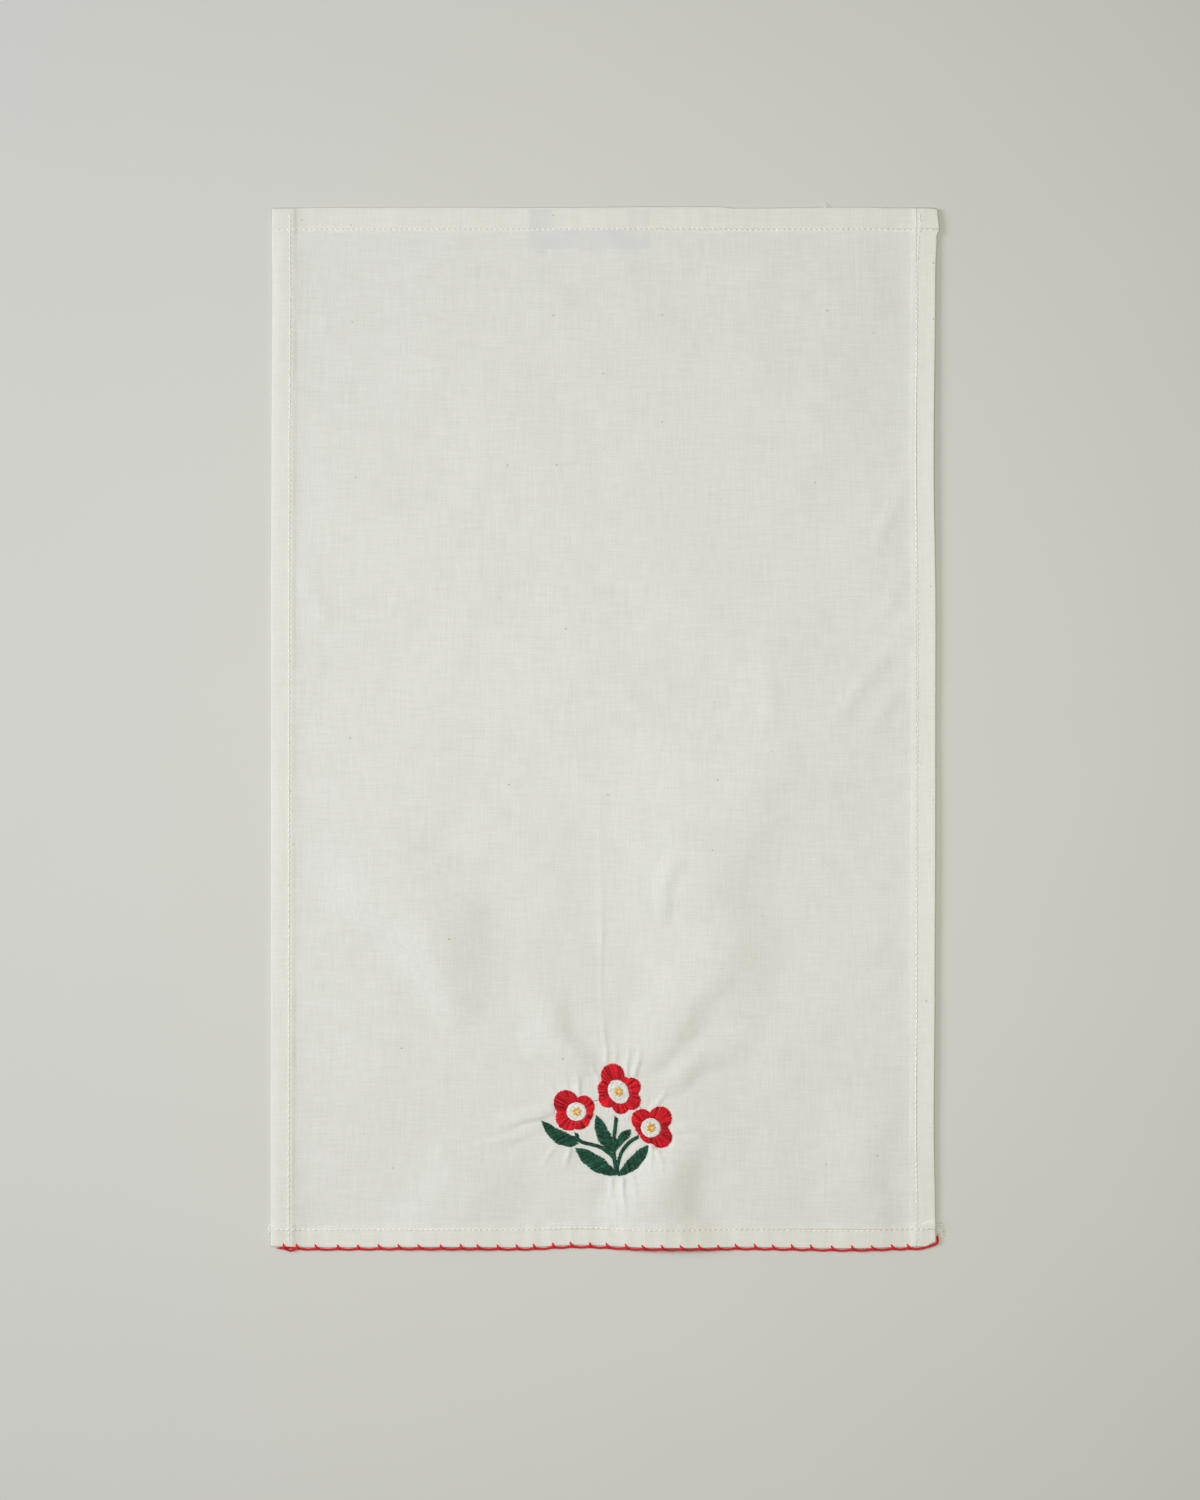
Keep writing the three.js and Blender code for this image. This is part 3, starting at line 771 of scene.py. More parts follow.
def tape_lift(x, y):
    """The rise over the tape behind the top hem."""
    left, right, foot = TAPE["left"], TAPE["right"], TAPE["foot"]
    soft, before, past = 18, 10, 12
    over = eased(x, left - soft, left) * (1 - eased(x, right, right + soft))
    return TAPE["thick"] * over * eased(y, foot - before, foot + past)


def in_hems(x, y):
    """1 inside a side hem and inside an end hem, each fading to 0 over a ramp past its inner edge."""
    side = eased(np.abs(x), HALF_WIDTH - SIDE_HEM - RAMP, HALF_WIDTH - SIDE_HEM)
    top = eased(y, HALF_LENGTH - TOP_HEM - RAMP, HALF_LENGTH - TOP_HEM)
    bottom = eased(-y, HALF_LENGTH - BOTTOM_HEM - RAMP, HALF_LENGTH - BOTTOM_HEM)
    return side, np.maximum(top, bottom)


def swell(x, y):
    """The cloth's slow unevenness: 0.35 sin(x/17 + 1.3 sin(y/41)) sin(y/23 + 1.7 sin(x/37)) and a smaller,
    quicker wave of the same kind."""
    slow = 0.35 * np.sin(x / 17 + 1.3 * np.sin(y / 41)) * np.sin(y / 23 + 1.7 * np.sin(x / 37))
    quick = 0.08 * np.sin(x / 5.5 + 2 * np.sin(y / 19)) * np.sin(y / 7 + 2 * np.sin(x / 23))
    return slow + quick


def face_height(x, y):
    """The height of the face's mid-surface. It lies flat under the stitching and is drawn into a ripple of
    0.25 sin(9a + sin 4a) at the angle a round the sprig, which dies out away from it. A trough t is held to
    a floor f by f tanh(t / f). Each turned hem adds a layer's gap, and crossing hems two more."""
    side, end = in_hems(x, y)
    gap = off_stitching(x, y)
    angle = np.arctan2(y - SPRIG_MIDDLE[1], x - SPRIG_MIDDLE[0])
    ripple = 0.25 * np.sin(9 * angle + np.sin(4 * angle)) * np.exp(-np.maximum(gap, 0) / 9)
    puffs = np.where(y < 0, 0.15, 0.05) * np.sin(x / 2.1 + 0.9 * np.sin(x / 37))
    hem_wave = end * puffs + 0.06 * side * np.sin(y / 1.9 + 3 * np.sin(y / 23))
    lift = creases(x, y) + swell(x, y) * (1 - 0.6 * np.maximum(side, end)) + ripple + hem_wave
    lift = lift * eased(gap, 0, FLAT_ROUND_STITCHING)
    floor = 0.45 - 0.33 * np.maximum(side, end)
    lift = np.where(lift < 0, floor * np.tanh(lift / floor), lift)
    stack = LAYER_GAP * (side + end + side * end)
    return FIELD_HIGH + lift + edge_lift(x, y) + tape_lift(x, y) + stack


def turned(steps, edge, hem, bend, depth=0.0):
    """Where a strip's steps lie when its edge is turned under twice, and how deep below the face.

    Steps up to 0 count back in millimetres from the start of the bend. From 0 to 1 the strip goes round a
    half circle of radius bend, to 2 back under by the hem, to 3 round a small half circle, and to 4 out
    again between the layers. A point that is already depth below the face goes round a tighter half circle.
    """
    small = LAYER_GAP / 2
    first = np.pi * np.clip(steps, 0, 1)
    second = np.pi * np.clip(steps - 2, 0, 1)
    back = (hem - bend - small) * np.clip(steps - 1, 0, 1)
    place = edge - bend + np.minimum(steps, 0) + (bend - depth) * np.sin(first)
    place = place - back - small * np.sin(second) + TURN_IN * np.clip(steps - 3, 0, 1)
    deep = bend - (bend - depth) * np.cos(first) - small * (1 - np.cos(second))
    return place, deep


def steps_between(stops, sizes):
    """Grid lines from stop to stop, with an even number of steps no longer than the size given for each."""
    runs = []
    for start, end, size in zip(stops, stops[1:], sizes):
        count = 2 * int(np.ceil((end - start) / size / 2))
        runs.append(np.linspace(start, end, count, endpoint=False))
    return np.concatenate([*runs, stops[-1:]])


def hem_steps():
    """Steps of a turned strip beyond its bend's start: six round the bend, then four back, four round and
    two out."""
    quarters = np.arange(1, 5) / 4
    return np.concatenate([np.arange(1, 7) / 6, 1 + quarters, 2 + quarters, [3.5, 4]])


def grid_lines(edge, low_hem, high_hem, stops, sizes):
    """Signs and steps of the grid's lines from one turned-in edge to the other.

    The lines are close on the ramps at the hems' inner edges, and sizes gives their steps between stops.
    """
    start = edge - LAYER_GAP
    low, high = low_hem - edge, edge - high_hem
    stops = [-start, low, low + RAMP, *stops, high - RAMP, high, start]
    field = steps_between(stops, [HEM_STEP, RAMP_STEP, *sizes, RAMP_STEP, HEM_STEP])
    hem = hem_steps()
    signs = np.concatenate([np.full(len(hem), -1), np.where(field < 0, -1, 1), np.full(len(hem), 1)])
    return signs, np.concatenate([hem[::-1], np.abs(field) - start, hem])


def cloth_part():
    """The towel's cloth, one strip turned under across and then along.

    The mid-surface is a grid, fine round the sprig. A fine outer skin lies half a thickness off it along its
    normals, and an inner skin on every second line half a thickness to the other side. The corners of the
    cut, where hems would lie on hems, are trimmed away.
    """
    sprig_sides, sprig_and_tape = [-58, 64], [-206, 300]
    side_sign, side_step = grid_lines(HALF_WIDTH, SIDE_HEM, SIDE_HEM, sprig_sides, [4.2, 1.0, 4.2])
    end_sign, end_step = grid_lines(HALF_LENGTH, BOTTOM_HEM, TOP_HEM, sprig_and_tape, [1.2, 4.4, 2.6])
    across, side_deep = turned(side_step, HALF_WIDTH, SIDE_HEM, LAYER_GAP)
    x, side_deep = (side_sign * across)[None], side_deep[None]
    corner = eased(np.abs(x), HALF_WIDTH - SIDE_HEM - RAMP, HALF_WIDTH - SIDE_HEM)
    bend = LAYER_GAP * (1 + corner)
    hem = np.where(end_sign > 0, TOP_HEM, BOTTOM_HEM)[:, None]
    far, deep = turned(end_step[:, None], HALF_LENGTH, hem, bend, side_deep)
    x, y = np.broadcast_arrays(x, end_sign[:, None] * far)
    height = face_height(x, y) - deep
    middle = np.stack([*placed(x, y), height], 2)

    down, wide = x.shape
    normal = unit(np.cross(np.gradient(middle, axis=1), np.gradient(middle, axis=0)))
    front = middle + normal * CLOTH_THICK / 2
    back = middle - normal * CLOTH_THICK / 2
    kept = trimmed(side_step, end_step)
    outer = skin_faces(down, wide, 1, kept)
    inner = skin_faces(down, wide, 2, kept)[:, ::-1] + down * wide
    rim = rim_faces(outer, wide, down * wide)
    points = np.concatenate([front.reshape(-1, 3), back.reshape(-1, 3)])
    return without_unused(Part(points, [outer, inner, rim], np.full(len(points), 0.5)))


def trimmed(side_step, end_step):
    """Which grid points belong to cells that are kept, as the largest step allowed along for each across:
    everything where either is on the face, and the bends where both turn."""
    side = side_step[None]
    end = end_step[:, None]
    tiny = 1e-6
    return (side <= tiny) | (end <= tiny) | ((side <= 1 + tiny) & (end <= 1 + tiny))


def skin_faces(down, wide, stride, kept):
    """Quads of every stride-th grid line whose four corners are kept."""
    index = np.arange(down * wide).reshape(down, wide)[::stride, ::stride]
    use = kept[::stride, ::stride]
    corners = np.stack([index[:-1, :-1], index[:-1, 1:], index[1:, 1:], index[1:, :-1]], -1)
    whole = use[:-1, :-1] & use[:-1, 1:] & use[1:, 1:] & use[1:, :-1]
    return corners[whole]


def rim_faces(outer, wide, offset):
    """Five-sided faces round the rim, each joining two edges of the outer skin to one of the inner skin.

    The rim's edges are those whose reverse no face of the outer skin has, and each leads on to the next.
    """
    edges = np.concatenate([outer[:, [k, (k + 1) % 4]] for k in range(4)]).astype(np.int64)
    size = int(edges.max()) + 1
    rim = edges[~np.isin(edges[:, 0] * size + edges[:, 1], edges[:, 1] * size + edges[:, 0])]
    onward = np.zeros(size, np.int64)
    onward[rim[:, 0]] = rim[:, 1]
    first = rim[:, 0][(rim[:, 0] // wide % 2 == 0) & (rim[:, 0] % wide % 2 == 0)]
    second = onward[first]
    third = onward[second]
    return np.stack([third, second, first, first + offset, third + offset], 1)


def without_unused(part):
    """The part without the points that no face uses."""
    used = np.unique(np.concatenate([corners.ravel() for corners in part.faces]))
    number = np.full(len(part.points), -1)
    number[used] = np.arange(len(used))
    return Part(part.points[used], [number[corners] for corners in part.faces], part.tone[used])


# Hem stitching


def stitch_row(low, high, fixed, upright, pitch):
    """Both ends of each stitch of a straight row from low to high, at a fixed place across it."""
    count = round((high - low) / pitch)
    starts = low + (high - low) * np.arange(count) / count
    ends = starts + HEM_THREAD["shown"] * pitch
    level = np.full(count, float(fixed))
    return [np.stack([level, run] if upright else [run, level], 1) for run in (starts, ends)]


def hem_stitches_part(pitch):
    """Machine stitches along the inner edge of every hem, each a loop through all its layers."""
    rng = np.random.default_rng(11)
    side = HALF_WIDTH - SIDE_HEM + SEAM_INSIDE
    above = HALF_LENGTH - TOP_HEM + SEAM_INSIDE
    below = BOTTOM_HEM - SEAM_INSIDE - HALF_LENGTH
    short = 3
    rows = [
        stitch_row(1 + short - HALF_LENGTH, HALF_LENGTH - short, -side, True, pitch),
        stitch_row(1 + short - HALF_LENGTH, HALF_LENGTH - short, side, True, pitch),
        stitch_row(short - HALF_WIDTH, HALF_WIDTH - short, above, False, pitch),
        stitch_row(short - HALF_WIDTH, HALF_WIDTH - short, below, False, pitch),
    ]
    starts, ends = (np.concatenate([row[k] for row in rows]) for k in (0, 1))
    starts = starts + rng.normal(0, HEM_THREAD["shake"], starts.shape)
    ends = ends + rng.normal(0, HEM_THREAD["shake"], ends.shape)
    face = face_height(*((starts + ends) / 2).T)
    side_share, end_share = in_hems(*((starts + ends) / 2).T)
    layers = 2 + 2 * side_share * end_share
    starts, ends = (np.stack(placed(*ends_of.T), 1) for ends_of in (starts, ends))
    radius = HEM_THREAD["radius"]
    top = face + HEM_THREAD["over"]
    under = np.maximum(face - layers * LAYER_GAP - 0.2, radius)
    tone = 0.55 + 0.45 * rng.random(len(starts))
    return thread_loops(starts, ends, top, under, HEM_THREAD["crown"], radius, tone)


def loose_ends_part():
    """Short ends of thread, thinner towards their tips."""
    steps = 12
    paths = np.stack([smooth_line(points, steps) for points in LOOSE_ENDS])
    radius = np.linspace(*LOOSE_RADIUS, steps)[None, :, None]
    return tubes(paths, np.array([0.3, 0.5, 0.8]), radius, radius, tone=0.9)


# Edging


def fold_edge(x):
    """The lowest place of the bottom fold at a place across the towel."""
    return placed(x, np.full_like(x, -HALF_LENGTH))[1]


def fold_lift(x):
    """How high the bottom fold is lifted off the surface at a place across the towel."""
    layers = 1 + 2 * in_hems(x, np.zeros_like(x))[0]
    lift = face_height(x, np.full_like(x, 2 - HALF_LENGTH)) - FIELD_HIGH - LAYER_GAP * layers
    return 0.8 * np.maximum(lift, 0)


def yarn_route():
    """The yarn's points: at each stitch it is drawn up to the fold, and between two it sags. It ends round
    the corner, beside the right edge."""
    places = np.array(STITCHES, float)
    out = YARN["radius"] + YARN["clearance"]
    high = YARN["radius"] + 0.1
    tail = 5
    corner = placed(np.array([HALF_WIDTH]), np.array([-HALF_LENGTH]))
    corner_x, corner_y = float(corner[0][0]), float(corner[1][0])
    between = (places + np.append(places[1:], corner_x - tail)) / 2
    slack = np.where(np.arange(len(places)) == 0, 3, 1) * YARN["sag"]
    across = np.stack([places, between], 1).ravel()
    low = np.stack([0 * slack, slack], 1).ravel()
    along_fold = np.stack([across, fold_edge(across) - out - low, high + fold_lift(across)], 1)
    start = float(places[0]) - tail
    first = (start, float(fold_edge(np.array([start]))[0]) - out - 0.1, high - 0.3)
    last = (
        (corner_x - tail, float(fold_edge(np.array([corner_x - tail]))[0]) - out, high),
        (corner_x + 0.8 * out, corner_y - 0.8 * out, high),
        (corner_x + out + 0.2, corner_y + tail / 2, high),
        (corner_x + out + 0.2, corner_y + tail, high),
    )
    return np.concatenate([[first], along_fold, last])


def plied(paths, aside, turn_length, radius, wide=1.0, flat=1.0, sides=14):
    """Two-ply yarn along paths: at turn t and run s the radius is r(0.66 + 0.34|cos(t - 2 pi s / length)|),
    so that two strands wind round each other. Its tone is painted shade and light: dark in the grooves, pale
    on the crowns."""
    steps = paths.shape[1]
    run = np.linalg.norm(np.diff(paths, axis=1), axis=2).cumsum(1)
    run = np.concatenate([np.zeros((len(paths), 1)), run], 1)[..., None]
    t = 2 * np.pi * (np.arange(sides) + 0.5) / sides
    crown = np.abs(np.cos(t - 2 * np.pi * run / turn_length))
    size = np.broadcast_to(radius, (len(paths), steps, 1)) * (0.66 + 0.34 * crown)
    return tubes(paths, aside, size * flat, size * wide, sides, tone=0.2 + 0.6 * crown**1.5)


def edging_part(turn_length):
    """The yarn along the fold, a second strand in its first gap, and its stitches over both faces."""
    upright = np.array([0, 0, 1.0])
    route = yarn_route()
    length = np.linalg.norm(np.diff(route, axis=0), axis=1).sum()
    step = 0.38
    main = smooth_line(route, int(length / step))[None]
    ends = np.linspace(0, length, main.shape[1])[:, None]
    taper = 0.35 + 0.65 * eased(ends, 0, 3) * (1 - 0.5 * eased(ends, length - 2, length))
    strands = [plied(main, upright, turn_length, YARN["radius"] * taper[None])]

    places = np.array(STITCHES, float)
    out = YARN["radius"] + YARN["clearance"]
    x0, x1 = float(places[0]), float(places[1])
    edge = float(fold_edge(np.array([x0]))[0])
    second = [(x0 - 1, -out, 1.2), (x0 + 3, -0.7, 1.1), (x1 - 3, -0.7, 1.1), (x1 + 1, -out, 1.2)]
    second = np.array(second) + [0, edge, 0]
    strands.append(plied(smooth_line(second, 36)[None], upright, 0.8 * turn_length, 0.7))

    rng = np.random.default_rng(5)
    edges = fold_edge(places)
    reach = YARN["reach"] - 0.35 + rng.uniform(-0.25, 0.25, len(places))
    lean = YARN["lean"] + rng.uniform(-0.2, 0.2, len(places))
    face = face_height(places, np.full_like(places, -HALF_LENGTH + 2)) + CLOTH_THICK / 2
    front = leg_paths(places, edges, reach, lean, face, out)
    share = np.linspace(0, 1, front.shape[1])[None, :, None]
    width = 0.55 + 0.85 * np.exp(-(((share - 0.36) / 0.24) ** 2))
    strands.append(plied(front, np.array([1.0, 0.2, 0]), turn_length, 1, width, 0.72 * width, 12))
    back = front[:, ::-1] * [1, 1, 0] + [0, 0, 0.17]
    strands.append(plied(back[:, 4:-2], np.array([1.0, 0.2, 0]), turn_length, 1, 0.75, 0.14, 10))
    return joined(strands)


def leg_paths(places, edges, reach, lean, face, out):
    """The middle line of each stitch: up out of the yarn from its right, over the fold, into the hem."""
    count = len(places)
    points = np.zeros((count, 6, 3))
    points[:, :, 0] = places[:, None] + lean[:, None] * [4.0, 1.6, 1.0, 0, -1.0, -1.1]
    points[:, :, 1] = edges[:, None] + [-out - 0.1, -out + 0.1, -0.5, 0.6, 0, 0]
    points[:, 4:, 1] += reach[:, None] + [-0.5, 0.1]
    points[:, :, 2] = face[:, None] + [-0.4, 0.25, 0.5, 0.5, 0.25, -0.5]
    return np.stack([smooth_line(line, 26) for line in points])


# Hanging loop


def loop_part():
    """The tape lies flat in a square U with mitred corners: each section runs from the outer to the inner
    side, and sections between two corners divide their length evenly."""
    left, right, foot, head = TAPE["left"], TAPE["right"], TAPE["foot"], TAPE["head"]
    width, thick = TAPE["width"], TAPE["thick"]
    outer = np.array([(left, head), (left, foot), (right, foot), (right, head)], float)
    inner = outer + np.array([(width, 0), (width, width), (-width, width), (-width, 0)])
    station = np.linspace(0, 3, 91)
    first, second = (
        np.stack([np.interp(station, range(4), axis) for axis in edge.T], 1) for edge in (outer, inner)
    )
    across = 9
    shares = np.concatenate([np.linspace(0, 1, across), np.linspace(1, 0, across)])
    edge_fall = 0.12 * (np.abs(2 * shares - 1) > 0.99)
    levels = np.repeat([thick, 0.02], across) - edge_fall * np.repeat([1, -1], across)
    flat = first[:, None] + (second - first)[:, None] * shares[None, :, None]
    level = np.broadcast_to(levels[None, :, None], (*flat.shape[:2], 1))
    return skinned(np.concatenate([flat, level], 2)[None])


# Sprig


def bloom_reach(bloom, way):
    """How far the petals reach from the eye's middle in a direction: the far side of the disc that reaches
    furthest, out cos a + sqrt(size^2 - (out sin a)^2) at the angle a from its middle."""
    turn, out, size = (column[:, None] for column in bloom.petals.values())
    aside = out * np.sin(way - np.radians(turn))
    ahead = out * np.cos(way - np.radians(turn))
    reaches = np.where(np.abs(aside) < size, ahead + np.sqrt(np.maximum(size**2 - aside**2, 0)), 0)
    return np.maximum(reaches.max(0), bloom.eye[0] / 2 + 2)


def eye_reach(bloom, way):
    """The radius of the eye's oval in a direction: ab / sqrt((b cos w)^2 + (a sin w)^2)."""
    a, b = bloom.eye[0] / 2, bloom.eye[1] / 2
    w = way - np.radians(bloom.lean)
    return a * b / np.hypot(b * np.cos(w), a * np.sin(w))


def spokes(bloom, way, reach):
    """Places at a reach from the bloom's middle in each direction."""
    return np.array(bloom.at) + np.stack([np.cos(way), np.sin(way)], 1) * np.asarray(reach)[:, None]


def clear_of(bloom, starts, ends, gap=0.3):
    """Threads cut back to their stretch outside a bloom, and which of them are long enough to keep."""
    samples = 17
    share = np.linspace(0, 1, samples)
    places = starts[:, None] + (ends - starts)[:, None] * share[None, :, None]
    off = places - np.array(bloom.at)
    way = np.arctan2(off[..., 1], off[..., 0])
    outside = np.hypot(off[..., 0], off[..., 1]) > bloom_reach(bloom, way.ravel()).reshape(way.shape) + gap
    first = np.argmax(outside, 1)
    last = samples - 1 - np.argmax(outside[:, ::-1], 1)
    rows = np.arange(len(starts))
    kept = outside.any(1) & (last - first >= 3)
    return places[rows, first], places[rows, last], kept


def cut_back(starts, ends, tone):
    """Threads cut back where they would run into a bloom."""
    for bloom in BLOOMS:
        starts, ends, kept = clear_of(bloom, starts, ends)
        starts, ends, tone = starts[kept], ends[kept], tone[kept]
    return starts, ends, tone


def parted(starts, ends, tone, longest, rng):
    """Threads over the longest size parted at a random share, so that they lie as two stitches."""
    long = np.linalg.norm(ends - starts, axis=1) > longest
    share = rng.uniform(0.35, 0.65, (len(starts), 1))
    cut = starts + (ends - starts) * share
    first_ends = np.where(long[:, None], cut, ends)
    return (
        np.concatenate([starts, cut[long]]),
        np.concatenate([first_ends, ends[long]]),
        np.concatenate([tone, np.clip(tone[long] + rng.uniform(-0.2, 0.2, long.sum()), 0, 1)]),
    )


def thread_tones(count, knots, rng, step=0.5):
    """A tone for each of count threads side by side: a drift, and a step of its own for every two."""
    pairs = np.repeat(rng.random((count + 1) // 2), 2)[:count]
    own = 0.4 * drifting(count, knots, rng) + step * pairs + 0.5 * rng.random(count)
    return np.clip(own + 0.05 - step / 2, 0, 1)


def petals_part(bloom, pitch, rng):
    """Satin stitches that fan out from the eye over a pad whose dark tone is painted shade between them.
    Every other one starts part of the way out, where the fan has opened."""
    count = int(2 * np.pi * 15.5 / pitch)
    i = np.arange(count)
    way = 2 * np.pi * (i + rng.uniform(-0.35, 0.35, count)) / count
    inner = eye_reach(bloom, way) - 0.1
    outer = bloom_reach(bloom, way) - rng.uniform(0, 0.7, count)
    start = np.where(i % 2 == 1, inner + (outer - inner) * rng.uniform(0.3, 0.6, count), inner)
    tone = thread_tones(count, 46, rng, 0.9)
    threads = thread_loops(spokes(bloom, way, start), spokes(bloom, way, outer), *PETAL_SEWING, tone)
    round_way = np.linspace(0, 2 * np.pi, 72, endpoint=False)
    outline = spokes(bloom, round_way, 0.95 * bloom_reach(bloom, round_way))
    return [threads, dome(outline, np.array(bloom.at), CLOTH_TOP, 1.55, PAD_SHADE_TONE)]


def eye_part(bloom, pitch, rng):
    """Straight stitches side by side across the oval, parted at random, over a pad of the same thread."""
    wide, tall = bloom.eye
    count = int(tall / pitch)
    level = (np.arange(count) + 0.5) / count * tall - tall / 2
    reach = wide / 2 * np.sqrt(1 - (2 * level / tall) ** 2) - rng.uniform(0, 0.5, count)
    tone = 0.35 + 0.65 * rng.random(count)
    starts, ends = np.stack([-reach, level], 1), np.stack([reach, level], 1)
    longest = 5
    starts, ends, tone = parted(starts, ends, tone, longest, rng)
    starts, ends, tone = parted(starts, ends, tone, longest, rng)
    lean = np.radians(bloom.lean)
    turn = np.array([[np.cos(lean), np.sin(lean)], [-np.sin(lean), np.cos(lean)]])
    starts, ends = starts @ turn + bloom.at, ends @ turn + bloom.at
    threads = thread_loops(starts, ends, *EYE_SEWING, tone)
    way = np.linspace(0, 2 * np.pi, 40, endpoint=False)
    outline = spokes(bloom, way, eye_reach(bloom, way))
    return joined([threads, dome(outline, np.array(bloom.at), 1.3, 1.7, 0.5)])


def star_part(bloom, rng):
    """Thick rays of three threads round an open middle, the middle thread of each the longest."""
    rays = STAR["points"]
    count = 3 * rays
    ray, strand = np.divmod(np.arange(count), 3)
    way = 2 * np.pi * (ray + 0.2 * rng.random(rays)[ray]) / rays + np.radians(bloom.star_turn)
    beside = np.stack([-np.sin(way), np.cos(way)], 1) * (strand - 1)[:, None]
    outer = STAR["outer"] - 0.45 * np.abs(strand - 1) + rng.uniform(-0.2, 0.25, count)
    starts = spokes(bloom, way, np.full(count, STAR["inner"])) + 0.3 * beside
    ends = spokes(bloom, way, outer) + 0.46 * beside
    return thread_loops(starts, ends, *STAR_SEWING, rng.uniform(0.1, 0.8, count))


def leaf_places(leaf, share, sign):
    """A leaf's edge on one side, or its middle line with sign 0. At the share s along it the half width is
    (wide / 2)(1 + 0.06 sin(6 pi s)) sin(pi s^k)^0.64, with k so that it is widest at full, and the middle
    line is off to the left by bend sin(pi s)."""
    foot, run = np.array(leaf.foot), np.array(leaf.tip) - leaf.foot
    left = np.array([-run[1], run[0]]) / np.hypot(*run)
    skew = np.log(0.5) / np.log(leaf.full)
    half = leaf.wide / 2 * (1 + 0.06 * np.sin(6 * np.pi * share))
    half = half * np.maximum(np.sin(np.pi * share**skew), 0) ** 0.64
    off = leaf.bend * np.sin(np.pi * share) + sign * half
    return foot + run * share[:, None] + left * off[:, None]


def leaf_rib(leaf, count):
    """Places along a leaf's middle line, all but its ends, and its half width at each."""
    share = np.linspace(0.04, 0.96, count)
    middle = leaf_places(leaf, share, 0)
    return middle, np.linalg.norm(leaf_places(leaf, share, 1) - middle, axis=1)


def satin_part(starts, ends, tone, rng, longest):
    """Side by side threads of a leaf or stem, cut back from the blooms, the long ones parted."""
    starts, ends, tone = parted(*cut_back(starts, ends, tone), longest, rng)
    return thread_loops(starts, ends, *SATIN_SEWING, tone)


def leaf_part(leaf, pitch, rng):
    """Satin stitches slanting from edge to edge over a pad whose dark tone is painted shade between them."""
    length = np.hypot(*(np.array(leaf.tip) - leaf.foot))
    count = int(1.12 * length / pitch)
    share = (np.arange(count) + 0.5) / count
    slant = 0.3 * leaf.wide / length
    starts = leaf_places(leaf, np.clip(share - slant, 0, 1), -1)
    ends = leaf_places(leaf, np.clip(share + slant, 0, 1), 1)
    shake, longest = 0.18, 3.4
    starts = starts + rng.normal(0, shake, starts.shape)
    ends = ends + rng.normal(0, shake, ends.shape)
    tone = thread_tones(count, 18, rng)
    middle, half = leaf_rib(leaf, 40)
    return [satin_part(starts, ends, tone, rng, longest), pad_under(middle, 0.8 * half)]


def pad_under(middle, half):
    """A flat pad along a middle line, cut back from the blooms, to lie under satin stitches. Its dark tone
    is painted shade for the gaps between them.
    """
    keep = np.ones(len(middle), bool)
    for bloom in BLOOMS:
        off = middle - np.array(bloom.at)
        way = np.arctan2(off[:, 1], off[:, 0])
        keep &= np.hypot(*off.T) > bloom_reach(bloom, way) + half
    level = 1.1
    path = np.concatenate([middle, np.full((len(middle), 1), level)], 1)[keep]
    width = np.broadcast_to(half, len(middle))[keep]
    aside = np.cross([0, 0, 1.0], unit(np.gradient(path, axis=0)))
    return tubes(path[None], aside[None], 0.3, width[None, :, None], 10, tone=PAD_SHADE_TONE)


def stem_part(points, pitch, rng):
    """Short satin stitches slanting across the stem's line, over a thin pad whose dark tone is painted shade
    between them.
    """
    rough = smooth_line(points, 60)
    length = np.linalg.norm(np.diff(rough, axis=0), axis=1).sum()
    middle = smooth_line(points, int(length / pitch))
    way = unit(np.gradient(middle, axis=0))
    left = np.stack([-way[:, 1], way[:, 0]], 1)
    reach = (STEM_WIDTH / 2 - 0.1) * left + 0.9 * way
    count = len(middle)
    shake = rng.normal(0, 0.1, (2, count, 2))
    tone = thread_tones(count, max(3, count // 6), rng)
    threads = satin_part(middle - reach + shake[0], middle + reach + shake[1], tone, rng, np.inf)
    return [threads, pad_under(middle, 0.8)]


def stray_threads_part():
    """A thread that crosses from the left bloom to the middle one, and a short curl by the middle one."""
    crossing = thread_loops(np.array([[-6.4, -253.8]]), np.array([[0.2, -252.6]]), *CROSSING_SEWING, 0.4)
    curl = ((23.2, -256.6, 1.2), (24.4, -257.4, 1.6), (25.4, -258.6, 1.3), (26.2, -258.2, 1.0))
    upright, radius = np.array([0, 0, 1.0]), 0.12
    return joined([crossing, tubes(smooth_line(curl, 14)[None], upright, radius, radius)])


# Settings


def colour(name, description, red, green, blue):
    """A colour that a user may change, given as it is seen, from 0 to 255."""
    return bpy.props.FloatVectorProperty(
        name=name, description=description, default=srgb(red, green, blue), subtype="COLOR", min=0, max=1
    )


def tint(name, description, red, green, blue):
    """A light's colour as shares of its strength."""
    return bpy.props.FloatVectorProperty(
        name=name, description=description, default=(red, green, blue), subtype="COLOR", min=0, max=2
    )


def size(name, description, millimetres):
    """A length that a user may change, kept in metres."""
    return bpy.props.FloatProperty(
        name=name, description=description, default=millimetres * MM, min=0, unit="LENGTH"
    )


def angle(name, description, degrees):
    """An angle that a user may change, kept in radians."""
    return bpy.props.FloatProperty(
        name=name, description=description, default=np.radians(degrees), unit="ROTATION"
    )


def watts(name, description, power):
    """A light's power that a user may change."""
    return bpy.props.FloatProperty(name=name, description=description, default=power, min=0, unit="POWER")


